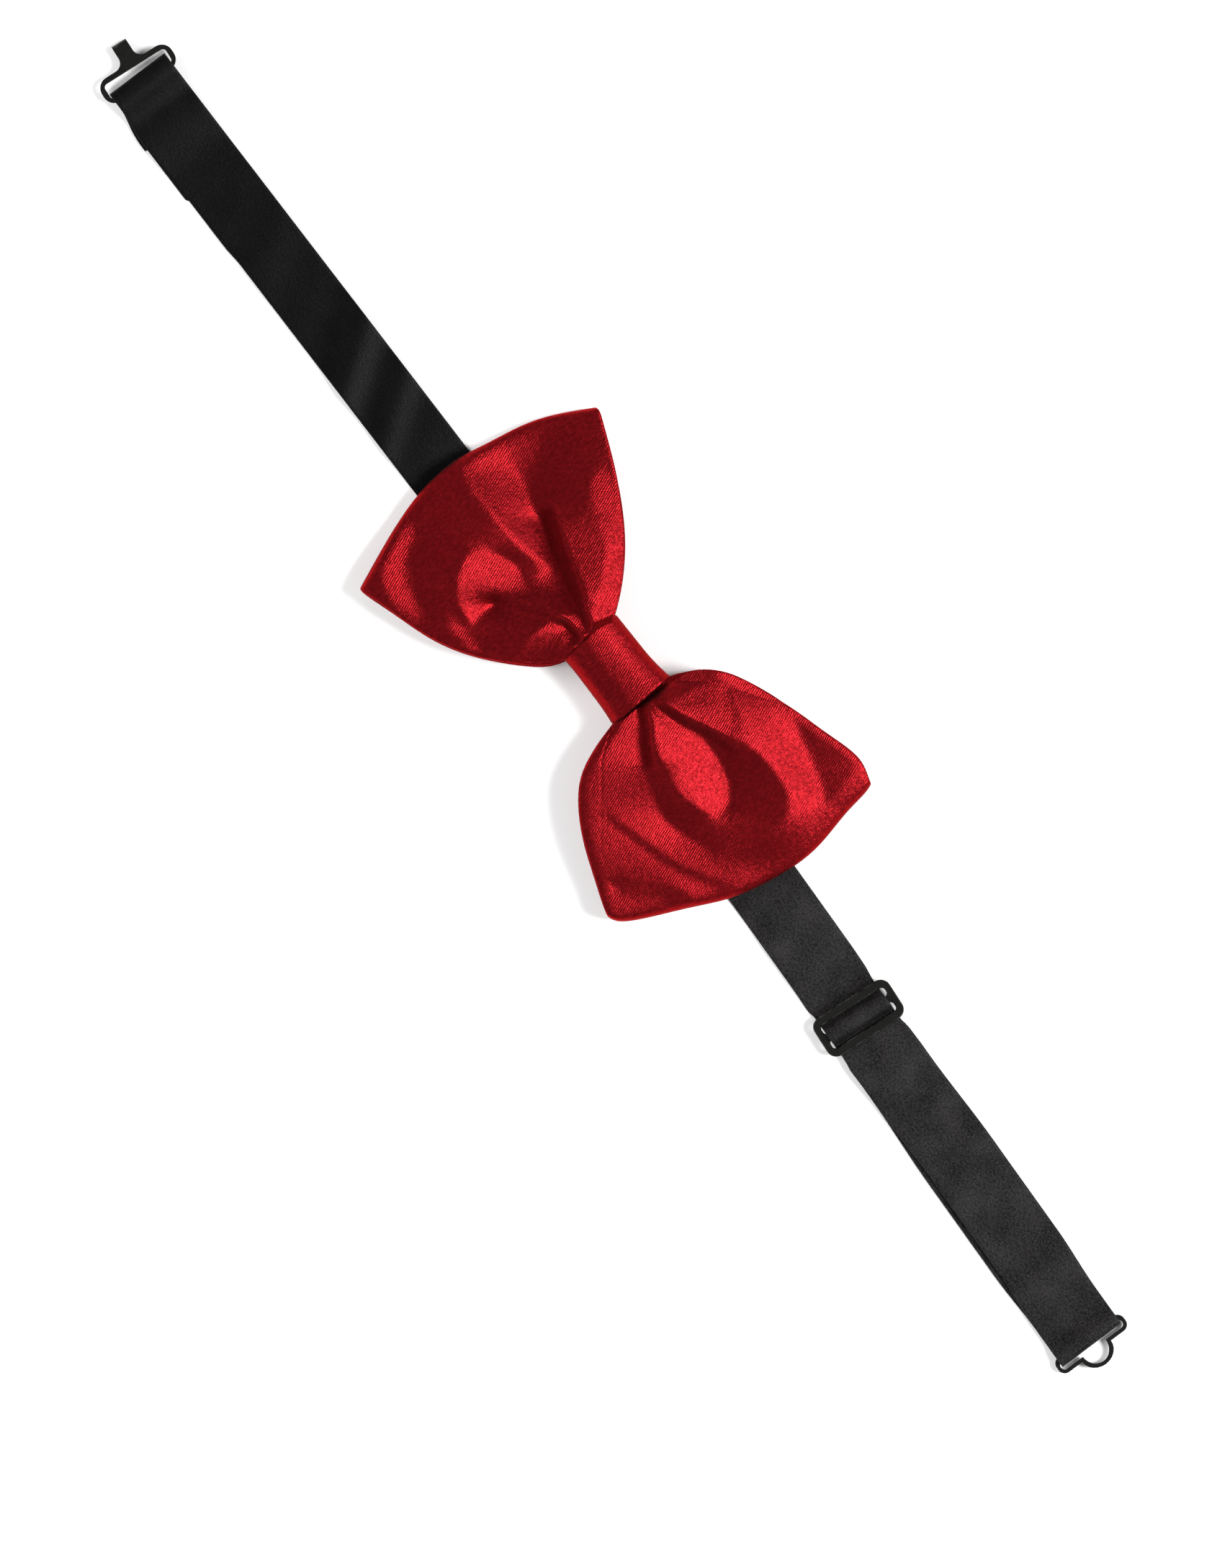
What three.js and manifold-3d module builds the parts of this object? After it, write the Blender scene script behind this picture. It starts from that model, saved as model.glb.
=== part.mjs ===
// Ready-tied satin bow on an adjustable neckband with a hook, an eye and a slider.
// Millimetres. The bow lies face up: +Z is its front, +X runs along the neckband from the hook to the eye,
// and the origin is the middle of the knot's back face, where the bow rests on a collar or a table.
import * as THREE from 'three';
import Module from 'manifold-3d';
import { mergeVertices } from 'three/addons/utils/BufferGeometryUtils.js';

const wasm = await Module();
wasm.setup();

// ---------------------------------------------------------------- driving dimensions

// Clearances.
const layerGap = 0.15; // between two layers of cloth that lie on each other
const runningGap = 0.3; // between pieces that move past each other, and between cut ends of one ribbon
const threadGap = 0.15; // round the gathered ribbon
const liningGap = 0.2; // between the satin and its lining
const knotRoom = 0.8; // round the gathered bow inside the knot, for the knot's round corners
const slotEndGap = 0.55; // between the strap's edge and the end of a slot
const sliderEndGap = 0.4; // the same in the slider's windows
const windowRoom = 1.0; // spare length in a window of the slider, past the strap and its sewn end
const tongueRoom = 1.35; // each side of the hook's tongue in the eye
const throatRoom = 0.2; // over the eye's rim in the hook

// Thicknesses.
const strapThickness = 0.5;
const satinWall = 0.25;
const liningThickness = 0.4;
const knotWall = 0.8;
const threadDiameter = 0.4;
const seamThreadDiameter = 0.3;
const plateThickness = 0.8;
const eyeThickness = 0.8;
const sliderThickness = 1.0;

// Neckband: one ribbon, which narrows where the knot gathers it and is folded round each fitting.
const hookSideWidth = 15.2;
const eyeSideWidth = 16.2;
const taperLength = 15; // from the gathered stretch out to full width, hidden by the wings
const hookSideDrop = 4.2; // the strap's middle line lies this far below the knot's at the end of its taper
const hookSideSlope = 0.009;
const eyeSideDrop = 2.0;
const eyeSideSlope = -0.0257;
const hookBarX = -171.3;
const sliderX = 95.7;
const eyeBarX = 185.2;
const hemLength = 12.4; // of the fold behind the hook, from the bar
const loopEndLength = 11.5; // of the sewn end, from the slider's middle bar
const bowSideEnd = 63; // the strap is fixed on the bow's side as far as here
const layerSpread = 0.6; // the two layers past the slider lie this much to each side of the middle line
const sliderSqueeze = 0.8; // the ribbon narrows by this much in the slider

// Bow: a flat satin tube with a stiff lining in it, folded into a loop and gathered in the middle.
const bowTravel = 6; // along the neckband, each way
const foldRadius = 1.9; // of the ribbon's middle surface, at the outer end of each wing
const foldHeight = 3.9; // of the fold's middle over the table, half way up the wing
const cornerDroop = 1.1; // the wing's corners hang this much lower than the fold's middle
const wingPuff = 8.0; // how far the front of each loop swells above a straight line from knot to fold
const backSag = 0.2; // of each loop's back, between its middle and its edges
const liningMargin = 0.7; // the lining stops this far inside the ribbon's two edges
const endGap = 0.6; // between the ribbon's two ends, which meet behind the waist

// Each wing's outline, as (distance outward from the knot, height along the wing): the two outer corners,
// how far each edge swells off a straight line, and how far the outer edge bulges past its corners.
const wings = {
  left: { side: -1, top: [50.4, 32.3], bottom: [49.8, -35.2], topSwell: 1.6, bottomSwell: 3.2, bulge: 9.6 },
  right: { side: 1, top: [53.4, 31.2], bottom: [44.6, -34.8], topSwell: 4.6, bottomSwell: 6.0, bulge: 10.2 },
};

// Knot: a folded satin strip wound once round the bow's waist and the neckband.
const knotLength = 18.0; // along the neckband
const knotHeight = 14.7; // across it
const knotDepth = 11.9; // from its back to its front
const knotCorner = 2.6;
const knotSeamWidth = 1.0; // the open seam at the back that the seam thread closes
const knotSeamOffset = 3.4;
const knotWaisting = 0.35; // the strip is this much slimmer half way along
const waistThreadTurns = 3;

// Hook: a stamped plate with a slot for the strap, and a tongue that bends back under it.
const plateLength = 6.2; // along the strap
const plateRim = 1.25;
const slotCorner = 0.9;
const barWidth = 1.2; // the bar inside the strap's fold, on the hook and on the eye
const tongueWidth = 3.8;
const tongueReach = 5.4; // beyond the plate
const tongueFillet = 2.1;
const hookLegLength = 4.6;
const hookTilt = THREE.MathUtils.degToRad(-4.5);

// Eye: a plate with the same slot and a round loop beyond it.
const eyePlateLength = 4.1;
const eyeRim = 0.85;
const eyeLoopReach = 3.6; // beyond the plate

// Slider: a flat frame with a middle bar.
const sliderCorner = 2.4;
const sliderSideBar = 1.9;
const sliderEndBar = 1.6;
const sliderMiddleBar = 1.6;
const sliderTilt = THREE.MathUtils.degToRad(-4.2);

// Colours.
const satinRed = 0xd8202c;
const ribbonBlack = 0x1d1c1c;
const threadBlack = 0x101010;
const threadRed = 0xa81820;
const metalBlack = 0x141414;
const liningWhite = 0xe4e0d8;

// ---------------------------------------------------------------- sizes that follow from them

const waistHalfWidth = knotHeight / 2 - knotWall - knotWaisting - knotRoom - threadDiameter - threadGap;
const waistReach = knotLength / 2 + 1.5; // half-length of the gathered stretch of the bow
const gatheredWidth = 2 * waistHalfWidth; // of the strap in the knot
const gatheredReach = knotLength / 2 + bowTravel + 6; // half-length of the strap's gathered stretch
const ribbonHalf = liningThickness / 2 + liningGap + satinWall; // half of the lined satin's thickness

const plateWidth = hookSideWidth + 2 * slotEndGap + 2 * plateRim;
const hookThroat = eyeThickness + throatRoom;
const eyePlateWidth = eyeSideWidth + 2 * slotEndGap + 2 * eyeRim;
const eyeLoopWidth = tongueWidth + 2 * tongueRoom + 2 * eyeRim;
const sliderWidth = eyeSideWidth + 2 * sliderEndGap + 2 * sliderEndBar;
const sliderStrapWidth = eyeSideWidth - sliderSqueeze;
const windowLength = 2 * layerGap + 2 * strapThickness + windowRoom;
const sliderLength = sliderMiddleBar + 2 * windowLength + 2 * sliderSideBar;
const foldSlack = Math.tan(-hookTilt) * hookSideWidth / 2 + 0.1; // past the bar, taken up by the hook's tilt

// Heights of the stacked layers, each to the layer's middle.
const barDiagonal = Math.hypot(barWidth, plateThickness);
const foldInside = barDiagonal + 2 * layerGap; // inside a fold, so that its bar can turn in it
const foldMiddleRadius = foldInside / 2 + strapThickness / 2;
const hookPlateZ = plateThickness + hookThroat + plateThickness / 2;
const lowerLayerZ = strapThickness / 2; // a strap flat on the table
const upperLayerZ = lowerLayerZ + strapThickness + layerGap; // a second layer on it
const eyePlateZ = strapThickness + foldInside / 2;
const sewnEndZ = seamThreadDiameter + 0.05 + strapThickness / 2; // a sewn end lies over its own thread
const returnZ = sewnEndZ + strapThickness + layerGap; // the layer that comes back from the eye
const frontZ = returnZ + strapThickness + layerGap; // the layer that goes out to the eye
const sliderZ = frontZ + strapThickness / 2 + layerGap + sliderThickness / 2;
const knotStrapZ = knotWall + runningGap + strapThickness / 2; // the strap inside the knot
const waistBackZ = knotStrapZ + strapThickness / 2 + runningGap + threadDiameter + threadGap + ribbonHalf;
const waistFrontZ = knotDepth - knotWall - knotWaisting - knotRoom - threadDiameter - threadGap - ribbonHalf;

// ---------------------------------------------------------------- shared helpers

const smooth = (a, b, x) => {
  const u = Math.min(1, Math.max(0, (x - a) / (b - a)));
  return u * u * (3 - 2 * u);
};
const mix = (a, b, u) => a + (b - a) * u;

// The strap's middle line across the bow: level in the knot, then a steady drop and slope to each side.
function strapMiddle(x) {
  const reach = gatheredReach + taperLength;
  const drop = x < 0 ? hookSideDrop : eyeSideDrop;
  const slope = x < 0 ? -hookSideSlope : eyeSideSlope;
  const out = Math.abs(x);
  return -drop * smooth(gatheredReach, reach + 12, out) + slope * Math.max(0, out - reach);
}

function strapWidth(x) {
  const full = x < 0 ? hookSideWidth : eyeSideWidth;
  return mix(gatheredWidth, full, smooth(gatheredReach, gatheredReach + taperLength, Math.abs(x)));
}

function cloth(color) {
  return new THREE.MeshStandardMaterial({ color, roughness: 0.45, metalness: 0 });
}

function metal() {
  return new THREE.MeshStandardMaterial({ color: metalBlack, roughness: 0.35, metalness: 0.6 });
}

function named(name, geometry, material) {
  const mesh = new THREE.Mesh(geometry, material);
  mesh.name = name;
  return mesh;
}

// A closed surface through a list of closed rings with the same number of points. The rings either end in
// flat caps, or, when inner rings are given, form the wall of a tube that is open at both ends.
function skin(rings, innerRings) {
  const count = rings[0].length;
  const points = [];
  const triangles = [];
  const quad = (a, b, c, d) => triangles.push(a, b, c, a, c, d);
  const sides = (list, inward) => {
    const first = points.length / 3;
    for (const ring of list) {
      for (const p of ring) points.push(p[0], p[1], p[2]);
    }
    for (let j = 0; j + 1 < list.length; j += 1) {
      for (let k = 0; k < count; k += 1) {
        const n = (k + 1) % count;
        const a = first + j * count + k;
        const b = first + j * count + n;
        const c = first + (j + 1) * count + n;
        const d = first + (j + 1) * count + k;
        if (inward) quad(a, b, c, d);
        else quad(a, d, c, b);
      }
    }
    return first;
  };
  const outer = sides(rings, false);
  const last = (rings.length - 1) * count;
  if (innerRings) {
    const inner = sides(innerRings, true);
    for (let k = 0; k < count; k += 1) {
      const n = (k + 1) % count;
      quad(outer + k, outer + n, inner + n, inner + k);
      quad(outer + last + k, inner + last + k, inner + last + n, outer + last + n);
    }
  } else {
    // Each ring runs out along one face and back along the other, so a cap is a strip between the two.
    const half = count / 2;
    for (let k = 0; k + 1 < half; k += 1) {
      const m = count - 1 - k;
      quad(outer + k, outer + k + 1, outer + m - 1, outer + m);
      quad(outer + last + k, outer + last + m, outer + last + m - 1, outer + last + k + 1);
    }
  }
  const geometry = new THREE.BufferGeometry();
  geometry.setAttribute('position', new THREE.BufferAttribute(new Float32Array(points), 3));
  geometry.setIndex(triangles);
  return geometry;
}

// A flat ribbon swept along a path of { x, z } in the vertical plane. Each stop carries the ribbon's middle
// y and its width, and can carry a lean that slants it across the strap.
function ribbon(path, thickness) {
  const rings = path.map((stop, i) => {
    const before = path[Math.max(0, i - 1)];
    const after = path[Math.min(path.length - 1, i + 1)];
    const run = Math.hypot(after.x - before.x, after.z - before.z);
    const nx = -(after.z - before.z) / run;
    const nz = (after.x - before.x) / run;
    const corner = (across, up) => [
      stop.x + nx * up * thickness / 2 + (stop.lean ?? 0) * across * stop.width / 2,
      stop.y + across * stop.width / 2,
      stop.z + nz * up * thickness / 2,
    ];
    return [corner(-1, 1), corner(1, 1), corner(1, -1), corner(-1, -1)];
  });
  return skin(rings);
}

// Stops of a ribbon path from [x, z] pairs, all with the strap's own middle and width unless told otherwise.
function stops(pairs, options = {}) {
  return pairs.map(([x, z]) => ({
    x,
    z,
    y: strapMiddle(x) + (options.offset ?? 0) * (options.fade ? options.fade(x) : 1),
    width: options.width ? options.width(x) : strapWidth(x),
    lean: options.lean ? options.lean(x) : 0,
  }));
}

// A thread: a round section swept along a smooth curve.
function thread(points, diameter, steps, sides = 3) {
  const section = new THREE.Shape();
  section.absarc(0, 0, diameter / 2, 0, Math.PI * 2, false);
  const path = new THREE.CatmullRomCurve3(points.map((p) => new THREE.Vector3(...p)), false, 'centripetal');
  const options = { steps, curveSegments: sides, bevelEnabled: false, extrudePath: path };
  return new THREE.ExtrudeGeometry(section, options);
}

// A flat plate cut from an outline, with its middle plane at z = 0.
function plate(outline, thickness, bevel) {
  const geometry = new THREE.ExtrudeGeometry(outline, {
    depth: thickness - 2 * bevel,
    bevelEnabled: bevel > 0,
    bevelThickness: bevel,
    bevelSize: bevel,
    bevelOffset: -bevel,
    bevelSegments: 1,
    curveSegments: 6,
  });
  geometry.translate(0, 0, -(thickness - 2 * bevel) / 2);
  return geometry;
}

// A rectangle with round corners, centred on (x, y).
function roundRect(shape, x, y, width, height, r) {
  const right = x + width / 2;
  const top = y + height / 2;
  const left = x - width / 2;
  const bottom = y - height / 2;
  shape.moveTo(left + r, bottom);
  shape.lineTo(right - r, bottom);
  shape.absarc(right - r, bottom + r, r, -Math.PI / 2, 0, false);
  shape.lineTo(right, top - r);
  shape.absarc(right - r, top - r, r, 0, Math.PI / 2, false);
  shape.lineTo(left + r, top);
  shape.absarc(left + r, top - r, r, Math.PI / 2, Math.PI, false);
  shape.lineTo(left, bottom + r);
  shape.absarc(left + r, bottom + r, r, Math.PI, Math.PI * 1.5, false);
  return shape;
}

// ---------------------------------------------------------------- the bow

// The outline of one wing. u runs from the knot (0) to the outer end (1), and v from the bottom edge (-1) to
// the top (1). The two edges are straight lines with a swell, and the outer end bulges outward.
function wingPlan(wing, u, v) {
  const swell = Math.sin(Math.PI * Math.min(1, u)) * (1 - 0.35 * u);
  const top = [mix(waistReach, wing.top[0] - foldRadius, u), mix(waistHalfWidth, wing.top[1], u)];
  const bottom = [mix(waistReach, wing.bottom[0] - foldRadius, u), mix(-waistHalfWidth, wing.bottom[1], u)];
  top[1] += wing.topSwell * swell;
  bottom[1] -= wing.bottomSwell * swell;
  const share = (v + 1) / 2;
  const x = mix(bottom[0], top[0], share) + wing.bulge * u * u * (1 - v * v);
  const y = mix(bottom[1], top[1], share);
  return [x * wing.side, y];
}

const foldMiddle = (v) => foldHeight - cornerDroop * v * v;

function frontHeight(u, v) {
  const base = mix(waistFrontZ, foldMiddle(v) + foldRadius, smooth(0, 1, u));
  return base + wingPuff * Math.sin(Math.PI * Math.pow(u, 0.8)) * (1 - 0.75 * v * v);
}

function backHeight(u, v) {
  const base = mix(waistBackZ, foldMiddle(v) - foldRadius, smooth(0, 0.6, u));
  return base - backSag * Math.sin(Math.PI * u) * v * v;
}

// The ribbon's middle surface, from one end behind the waist, round the left wing, over the front, round the
// right wing and back: a list of rows, each a list of points across the ribbon.
function bowRows() {
  const across = 8;
  const along = 9;
  const rows = [];
  const row = (point) => {
    const line = [];
    for (let k = 0; k <= across; k += 1) line.push(point(-1 + (2 * k) / across));
    rows.push(line);
  };
  const loop = (wing, order) => {
    const layer = (height) => {
      const list = [];
      for (let j = 0; j <= along; j += 1) {
        const u = j / along;
        list.push((v) => [...wingPlan(wing, u, v), height(u, v)]);
      }
      return list;
    };
    const fold = [1, 2, 3].map((step) => (v) => {
      const [x, y] = wingPlan(wing, 1, v);
      const turn = (step * Math.PI) / 4;
      return [x + wing.side * foldRadius * Math.sin(turn), y, foldMiddle(v) + foldRadius * Math.cos(turn)];
    });
    const list = [...layer(frontHeight), ...fold, ...layer(backHeight).reverse()];
    (order < 0 ? list.reverse() : list).forEach(row);
  };
  row((v) => [-endGap / 2, v * waistHalfWidth, waistBackZ]);
  loop(wings.left, -1);
  row((v) => [0, v * waistHalfWidth, waistFrontZ]);
  loop(wings.right, 1);
  row((v) => [endGap / 2, v * waistHalfWidth, waistBackZ]);
  return rows;
}

// Rings round the ribbon at a distance from its middle surface, held back from both edges by a margin.
function bowRings(rows, distance, margin) {
  const at = (row, k) => new THREE.Vector3(...row[k]);
  return rows.map((row, j) => {
    const count = row.length;
    const before = rows[Math.max(0, j - 1)];
    const after = rows[Math.min(rows.length - 1, j + 1)];
    const front = [];
    const back = [];
    const start = at(row, 0);
    const end = at(row, count - 1);
    const width = start.distanceTo(end);
    for (let k = 0; k < count; k += 1) {
      const along = at(after, k).sub(at(before, k));
      const across = at(row, Math.min(count - 1, k + 1)).sub(at(row, Math.max(0, k - 1)));
      const normal = along.cross(across).normalize();
      const pulled = mix(-1, 1, k / (count - 1)) * (1 - (2 * margin) / width);
      const share = ((pulled + 1) / 2) * (count - 1);
      const k0 = Math.min(count - 2, Math.floor(share));
      const middle = at(row, k0).lerp(at(row, k0 + 1), share - k0);
      front.push(middle.clone().addScaledVector(normal, distance).toArray());
      back.push(middle.clone().addScaledVector(normal, -distance).toArray());
    }
    return [...front, ...back.reverse()];
  });
}

function bowSatin() {
  const rows = bowRows();
  const outer = bowRings(rows, ribbonHalf, 0);
  const inner = bowRings(rows, ribbonHalf - satinWall, satinWall);
  return named('bow_satin', skin(outer, inner), cloth(satinRed));
}

function bowLining() {
  const rows = bowRows();
  return named('bow_lining', skin(bowRings(rows, liningThickness / 2, liningMargin)), cloth(liningWhite));
}

// The gathering thread: turns round the waist inside the knot.
function waistThread() {
  const clear = ribbonHalf + threadDiameter / 2 + threadGap;
  const halfY = waistHalfWidth + threadDiameter / 2 + threadGap;
  const low = waistBackZ - clear;
  const high = waistFrontZ + clear;
  const r = 0.25;
  const corners = [[halfY, low + r], [halfY, high - r], [halfY - r, high], [-halfY + r, high],
    [-halfY, high - r], [-halfY, low + r], [-halfY + r, low], [halfY - r, low]];
  const pitch = threadDiameter + 0.2;
  const points = [];
  for (let i = 0; i <= waistThreadTurns * corners.length; i += 1) {
    const [y, z] = corners[i % corners.length];
    points.push([(i / corners.length - waistThreadTurns / 2) * pitch, y, z]);
  }
  return named('waist_thread', thread(points, threadDiameter, 96), cloth(threadRed));
}

// ---------------------------------------------------------------- the knot

// The strip's section: a rounded ring with an open seam at the back.
function knotSection(inset, slim) {
  const halfY = knotHeight / 2 - inset - slim;
  const low = inset;
  const high = knotDepth - inset - slim;
  const r = knotCorner - inset;
  const arc = (cy, cz, from) => {
    const list = [];
    for (let i = 0; i <= 3; i += 1) {
      const a = from + (i * Math.PI) / 6;
      list.push([cy + r * Math.cos(a), cz + r * Math.sin(a)]);
    }
    return list;
  };
  return [
    [knotSeamOffset + knotSeamWidth / 2, low],
    ...arc(halfY - r, low + r, -Math.PI / 2),
    ...arc(halfY - r, high - r, 0),
    ...arc(-halfY + r, high - r, Math.PI / 2),
    ...arc(-halfY + r, low + r, Math.PI),
    [knotSeamOffset - knotSeamWidth / 2, low],
  ];
}

function knotStrip() {
  const stepsAlong = 6;
  const rings = [];
  for (let i = 0; i <= stepsAlong; i += 1) {
    const x = mix(-knotLength / 2, knotLength / 2, i / stepsAlong);
    const slim = knotWaisting * Math.cos((Math.PI * x) / knotLength);
    const outer = knotSection(0, slim).map(([y, z]) => [x, y, z]);
    const inner = knotSection(knotWall, slim).map(([y, z]) => [x, y, z]);
    rings.push([...inner, ...outer.reverse()]);
  }
  return named('knot_strip', skin(rings), cloth(satinRed));
}

// The thread that closes the knot's seam: a zigzag between the strip's two ends.
function knotThread() {
  const swing = knotSeamWidth / 2 - seamThreadDiameter / 2 - 0.1;
  const bights = 12;
  const points = [];
  for (let i = 0; i <= bights; i += 1) {
    const x = mix(-knotLength / 2 + 1, knotLength / 2 - 1, i / bights);
    points.push([x, knotSeamOffset + (i % 2 ? swing : -swing), knotWall / 2]);
  }
  return named('knot_thread', thread(points, seamThreadDiameter, 48), cloth(threadRed));
}

// ---------------------------------------------------------------- the neckband

// Points of a fold round a bar: from its lower layer, round the outer side, to its upper layer. dir is -1
// for the hook, whose fold points to -X, and 1 for the eye.
function foldArc(dir, tipX, middleZ, radius) {
  const points = [];
  for (let i = 0; i <= 8; i += 1) {
    const a = -Math.PI / 2 + (i * Math.PI) / 8;
    points.push([tipX - dir * radius + dir * radius * Math.cos(a), middleZ + radius * Math.sin(a)]);
  }
  return points;
}

// The fixed part of the strap: the hem behind the hook, the fold round its bar, and the run in the knot.
function bandRibbon() {
  const tip = hookBarX - barWidth / 2 - foldSlack - strapThickness;
  const arc = foldArc(-1, tip + strapThickness / 2, hookPlateZ, foldMiddleRadius);
  const hemEnd = hookBarX + hemLength;
  const pairs = [
    [hemEnd, sewnEndZ],
    [hookBarX + 6, sewnEndZ],
    [hookBarX + 3.2, mix(sewnEndZ, arc[0][1], 0.55)],
    [hookBarX + 1.2, arc[0][1]],
    ...arc,
    [hookBarX + 1.2, arc[8][1]],
    [hookBarX + 3.2, mix(returnZ, arc[8][1], 0.55)],
    [hookBarX + 6, returnZ],
    [hemEnd, returnZ],
    [hemEnd + 4, mix(returnZ, lowerLayerZ, 0.5)],
    [hemEnd + 8, lowerLayerZ],
  ];
  const runEnd = bowSideEnd - runningGap / 2;
  const runStops = 40;
  for (let i = 1; i <= runStops; i += 1) {
    const x = mix(hemEnd + 8, runEnd, i / runStops);
    const raise = 1 - smooth(gatheredReach - 4, gatheredReach + taperLength - 3, Math.abs(x));
    pairs.push([x, mix(lowerLayerZ, knotStrapZ, raise)]);
  }
  return named('band_ribbon', ribbon(stops(pairs), strapThickness), cloth(ribbonBlack));
}

// A row of stitches across the strap, on its underside: a thread that waves a little along its row.
function stitchRow(name, x, width) {
  const points = [];
  const bights = 14;
  for (let i = 0; i <= bights; i += 1) {
    const y = mix(-width / 2, width / 2, i / bights);
    points.push([x + (i % 2 ? 0.12 : -0.12), strapMiddle(x) + y, seamThreadDiameter / 2]);
  }
  return named(name, thread(points, seamThreadDiameter, 42), cloth(threadBlack));
}

function hookStitches() {
  return stitchRow('hook_hem_stitches', hookBarX + hemLength - 2, hookSideWidth - 2);
}

function sliderStitches() {
  return stitchRow('slider_end_stitches', sliderX + loopEndLength - 2, sliderStrapWidth - 2);
}

// The lean of a ribbon that follows the tilted slider: full beside the bars, none further off.
const sliderLean = (x) => Math.tan(-sliderTilt) * (1 - smooth(5.4, 7.4, Math.abs(x - sliderX)));
const sliderStrap = (x) => mix(sliderStrapWidth, eyeSideWidth, smooth(5.2, 8.4, Math.abs(x - sliderX)));
const humpReach = 9; // half-length of the stretch of strap that bends through the slider

// The stretch of strap from beside the bow to the slider. It shortens and lengthens as the slider moves.
function sliderRun() {
  const end = sliderX - humpReach - runningGap / 2;
  const pairs = [];
  for (let i = 0; i <= 6; i += 1) pairs.push([mix(bowSideEnd + runningGap / 2, end, i / 6), lowerLayerZ]);
  return named('band_slider_run', ribbon(stops(pairs), strapThickness), cloth(ribbonBlack));
}

// The strap where it bends through the slider: under one side bar, over the middle bar, under the other.
function sliderBend() {
  const over = sliderZ + sliderThickness / 2 + 2 * layerGap + 1.5 * strapThickness;
  const riser = sliderMiddleBar / 2 + 2 * layerGap + 1.75 * strapThickness;
  const rise = [
    [-humpReach, lowerLayerZ],
    [-humpReach + 2, lowerLayerZ + 0.1],
    [-sliderLength / 2 + sliderSideBar / 2, frontZ - 0.45],
    [-riser - 0.75, frontZ + 0.05],
    [-riser - 0.1, sliderZ - 0.2],
    [-riser + 0.25, over - 0.9],
    [-riser + 0.85, over - 0.2],
  ];
  const fall = [
    [riser - 0.85, over - 0.2],
    [riser - 0.25, over - 0.9],
    [riser + 0.1, sliderZ - 0.1],
    [riser + 0.75, frontZ + 0.25],
    [sliderLength / 2 - sliderSideBar / 2, frontZ],
    [humpReach, frontZ],
  ];
  const pairs = [...rise, [0, over], ...fall].map(([x, z]) => [sliderX + x, z]);
  const bend = stops(pairs, { width: sliderStrap, lean: sliderLean });
  return named('band_slider_bend', ribbon(bend, strapThickness), cloth(ribbonBlack));
}

// The strap's end: folded round the slider's middle bar and sewn to itself underneath.
function sliderLoop() {
  const half = sliderMiddleBar / 2 + layerGap + strapThickness / 2;
  const top = sliderZ + sliderThickness / 2 + layerGap + strapThickness / 2;
  const corner = 0.35;
  const pairs = [
    [loopEndLength, sewnEndZ],
    [half + 1.2, sewnEndZ],
    [-half + 0.9, sewnEndZ],
    [-half + 0.25, sewnEndZ + 0.3],
    [-half, sewnEndZ + 0.9],
    [-half, top - corner],
    [-half + corner, top],
    [half - corner, top],
    [half, top - corner],
    [half, returnZ + 0.95],
    [half + 0.3, returnZ + 0.3],
    [half + 1.1, returnZ],
    [loopEndLength, returnZ],
    [humpReach + 4.5, mix(returnZ, lowerLayerZ, 0.35)],
    [humpReach + 7, lowerLayerZ],
    [humpReach + 8, lowerLayerZ],
  ].map(([x, z]) => [sliderX + x, z]);
  const width = (x) => mix(sliderStrapWidth, eyeSideWidth, smooth(7, 14, x - sliderX));
  const loop = stops(pairs, { width, lean: sliderLean });
  return named('band_slider_loop', ribbon(loop, strapThickness), cloth(ribbonBlack));
}

const foldTip = eyeBarX + barWidth / 2 + foldSlack + strapThickness;
const foldStart = eyeBarX - 7; // where the fold's own stretch begins
const spread = (x) => smooth(sliderX + 16, sliderX + 40, x) * (1 - smooth(eyeBarX - 24, foldStart - 1, x));

// The two layers between the slider and the eye. Both change length as the slider moves.
function frontRun() {
  const from = sliderX + humpReach + runningGap;
  const pairs = [];
  const frontStops = 30;
  for (let i = 0; i <= frontStops; i += 1) {
    const x = mix(from, foldStart - runningGap, i / frontStops);
    pairs.push([x, mix(frontZ, upperLayerZ, smooth(from + 2.5, from + 10, x))]);
  }
  const run = stops(pairs, { offset: layerSpread, fade: spread });
  return named('band_front_run', ribbon(run, strapThickness), cloth(ribbonBlack));
}

function backRun() {
  const from = sliderX + humpReach + 8 + runningGap;
  const pairs = [];
  const backStops = 12;
  for (let i = 0; i <= backStops; i += 1) {
    pairs.push([mix(from, foldStart - runningGap, i / backStops), lowerLayerZ]);
  }
  const run = stops(pairs, { offset: -layerSpread, fade: spread });
  return named('band_back_run', ribbon(run, strapThickness), cloth(ribbonBlack));
}

// The fold round the eye's bar.
function eyeFold() {
  const arc = foldArc(1, foldTip - strapThickness / 2, eyePlateZ, foldMiddleRadius);
  const pairs = [
    [foldStart, lowerLayerZ],
    ...arc,
    [eyeBarX - 1.2, arc[8][1]],
    [eyeBarX - 3.4, mix(upperLayerZ, arc[8][1], 0.45)],
    [eyeBarX - 5.6, upperLayerZ],
    [foldStart, upperLayerZ],
  ];
  return named('band_eye_fold', ribbon(stops(pairs), strapThickness), cloth(ribbonBlack));
}

// ---------------------------------------------------------------- the fittings

// Where the tongue's bend begins, back from its outermost face.
const hookBend = hookThroat / 2 + plateThickness;

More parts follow.
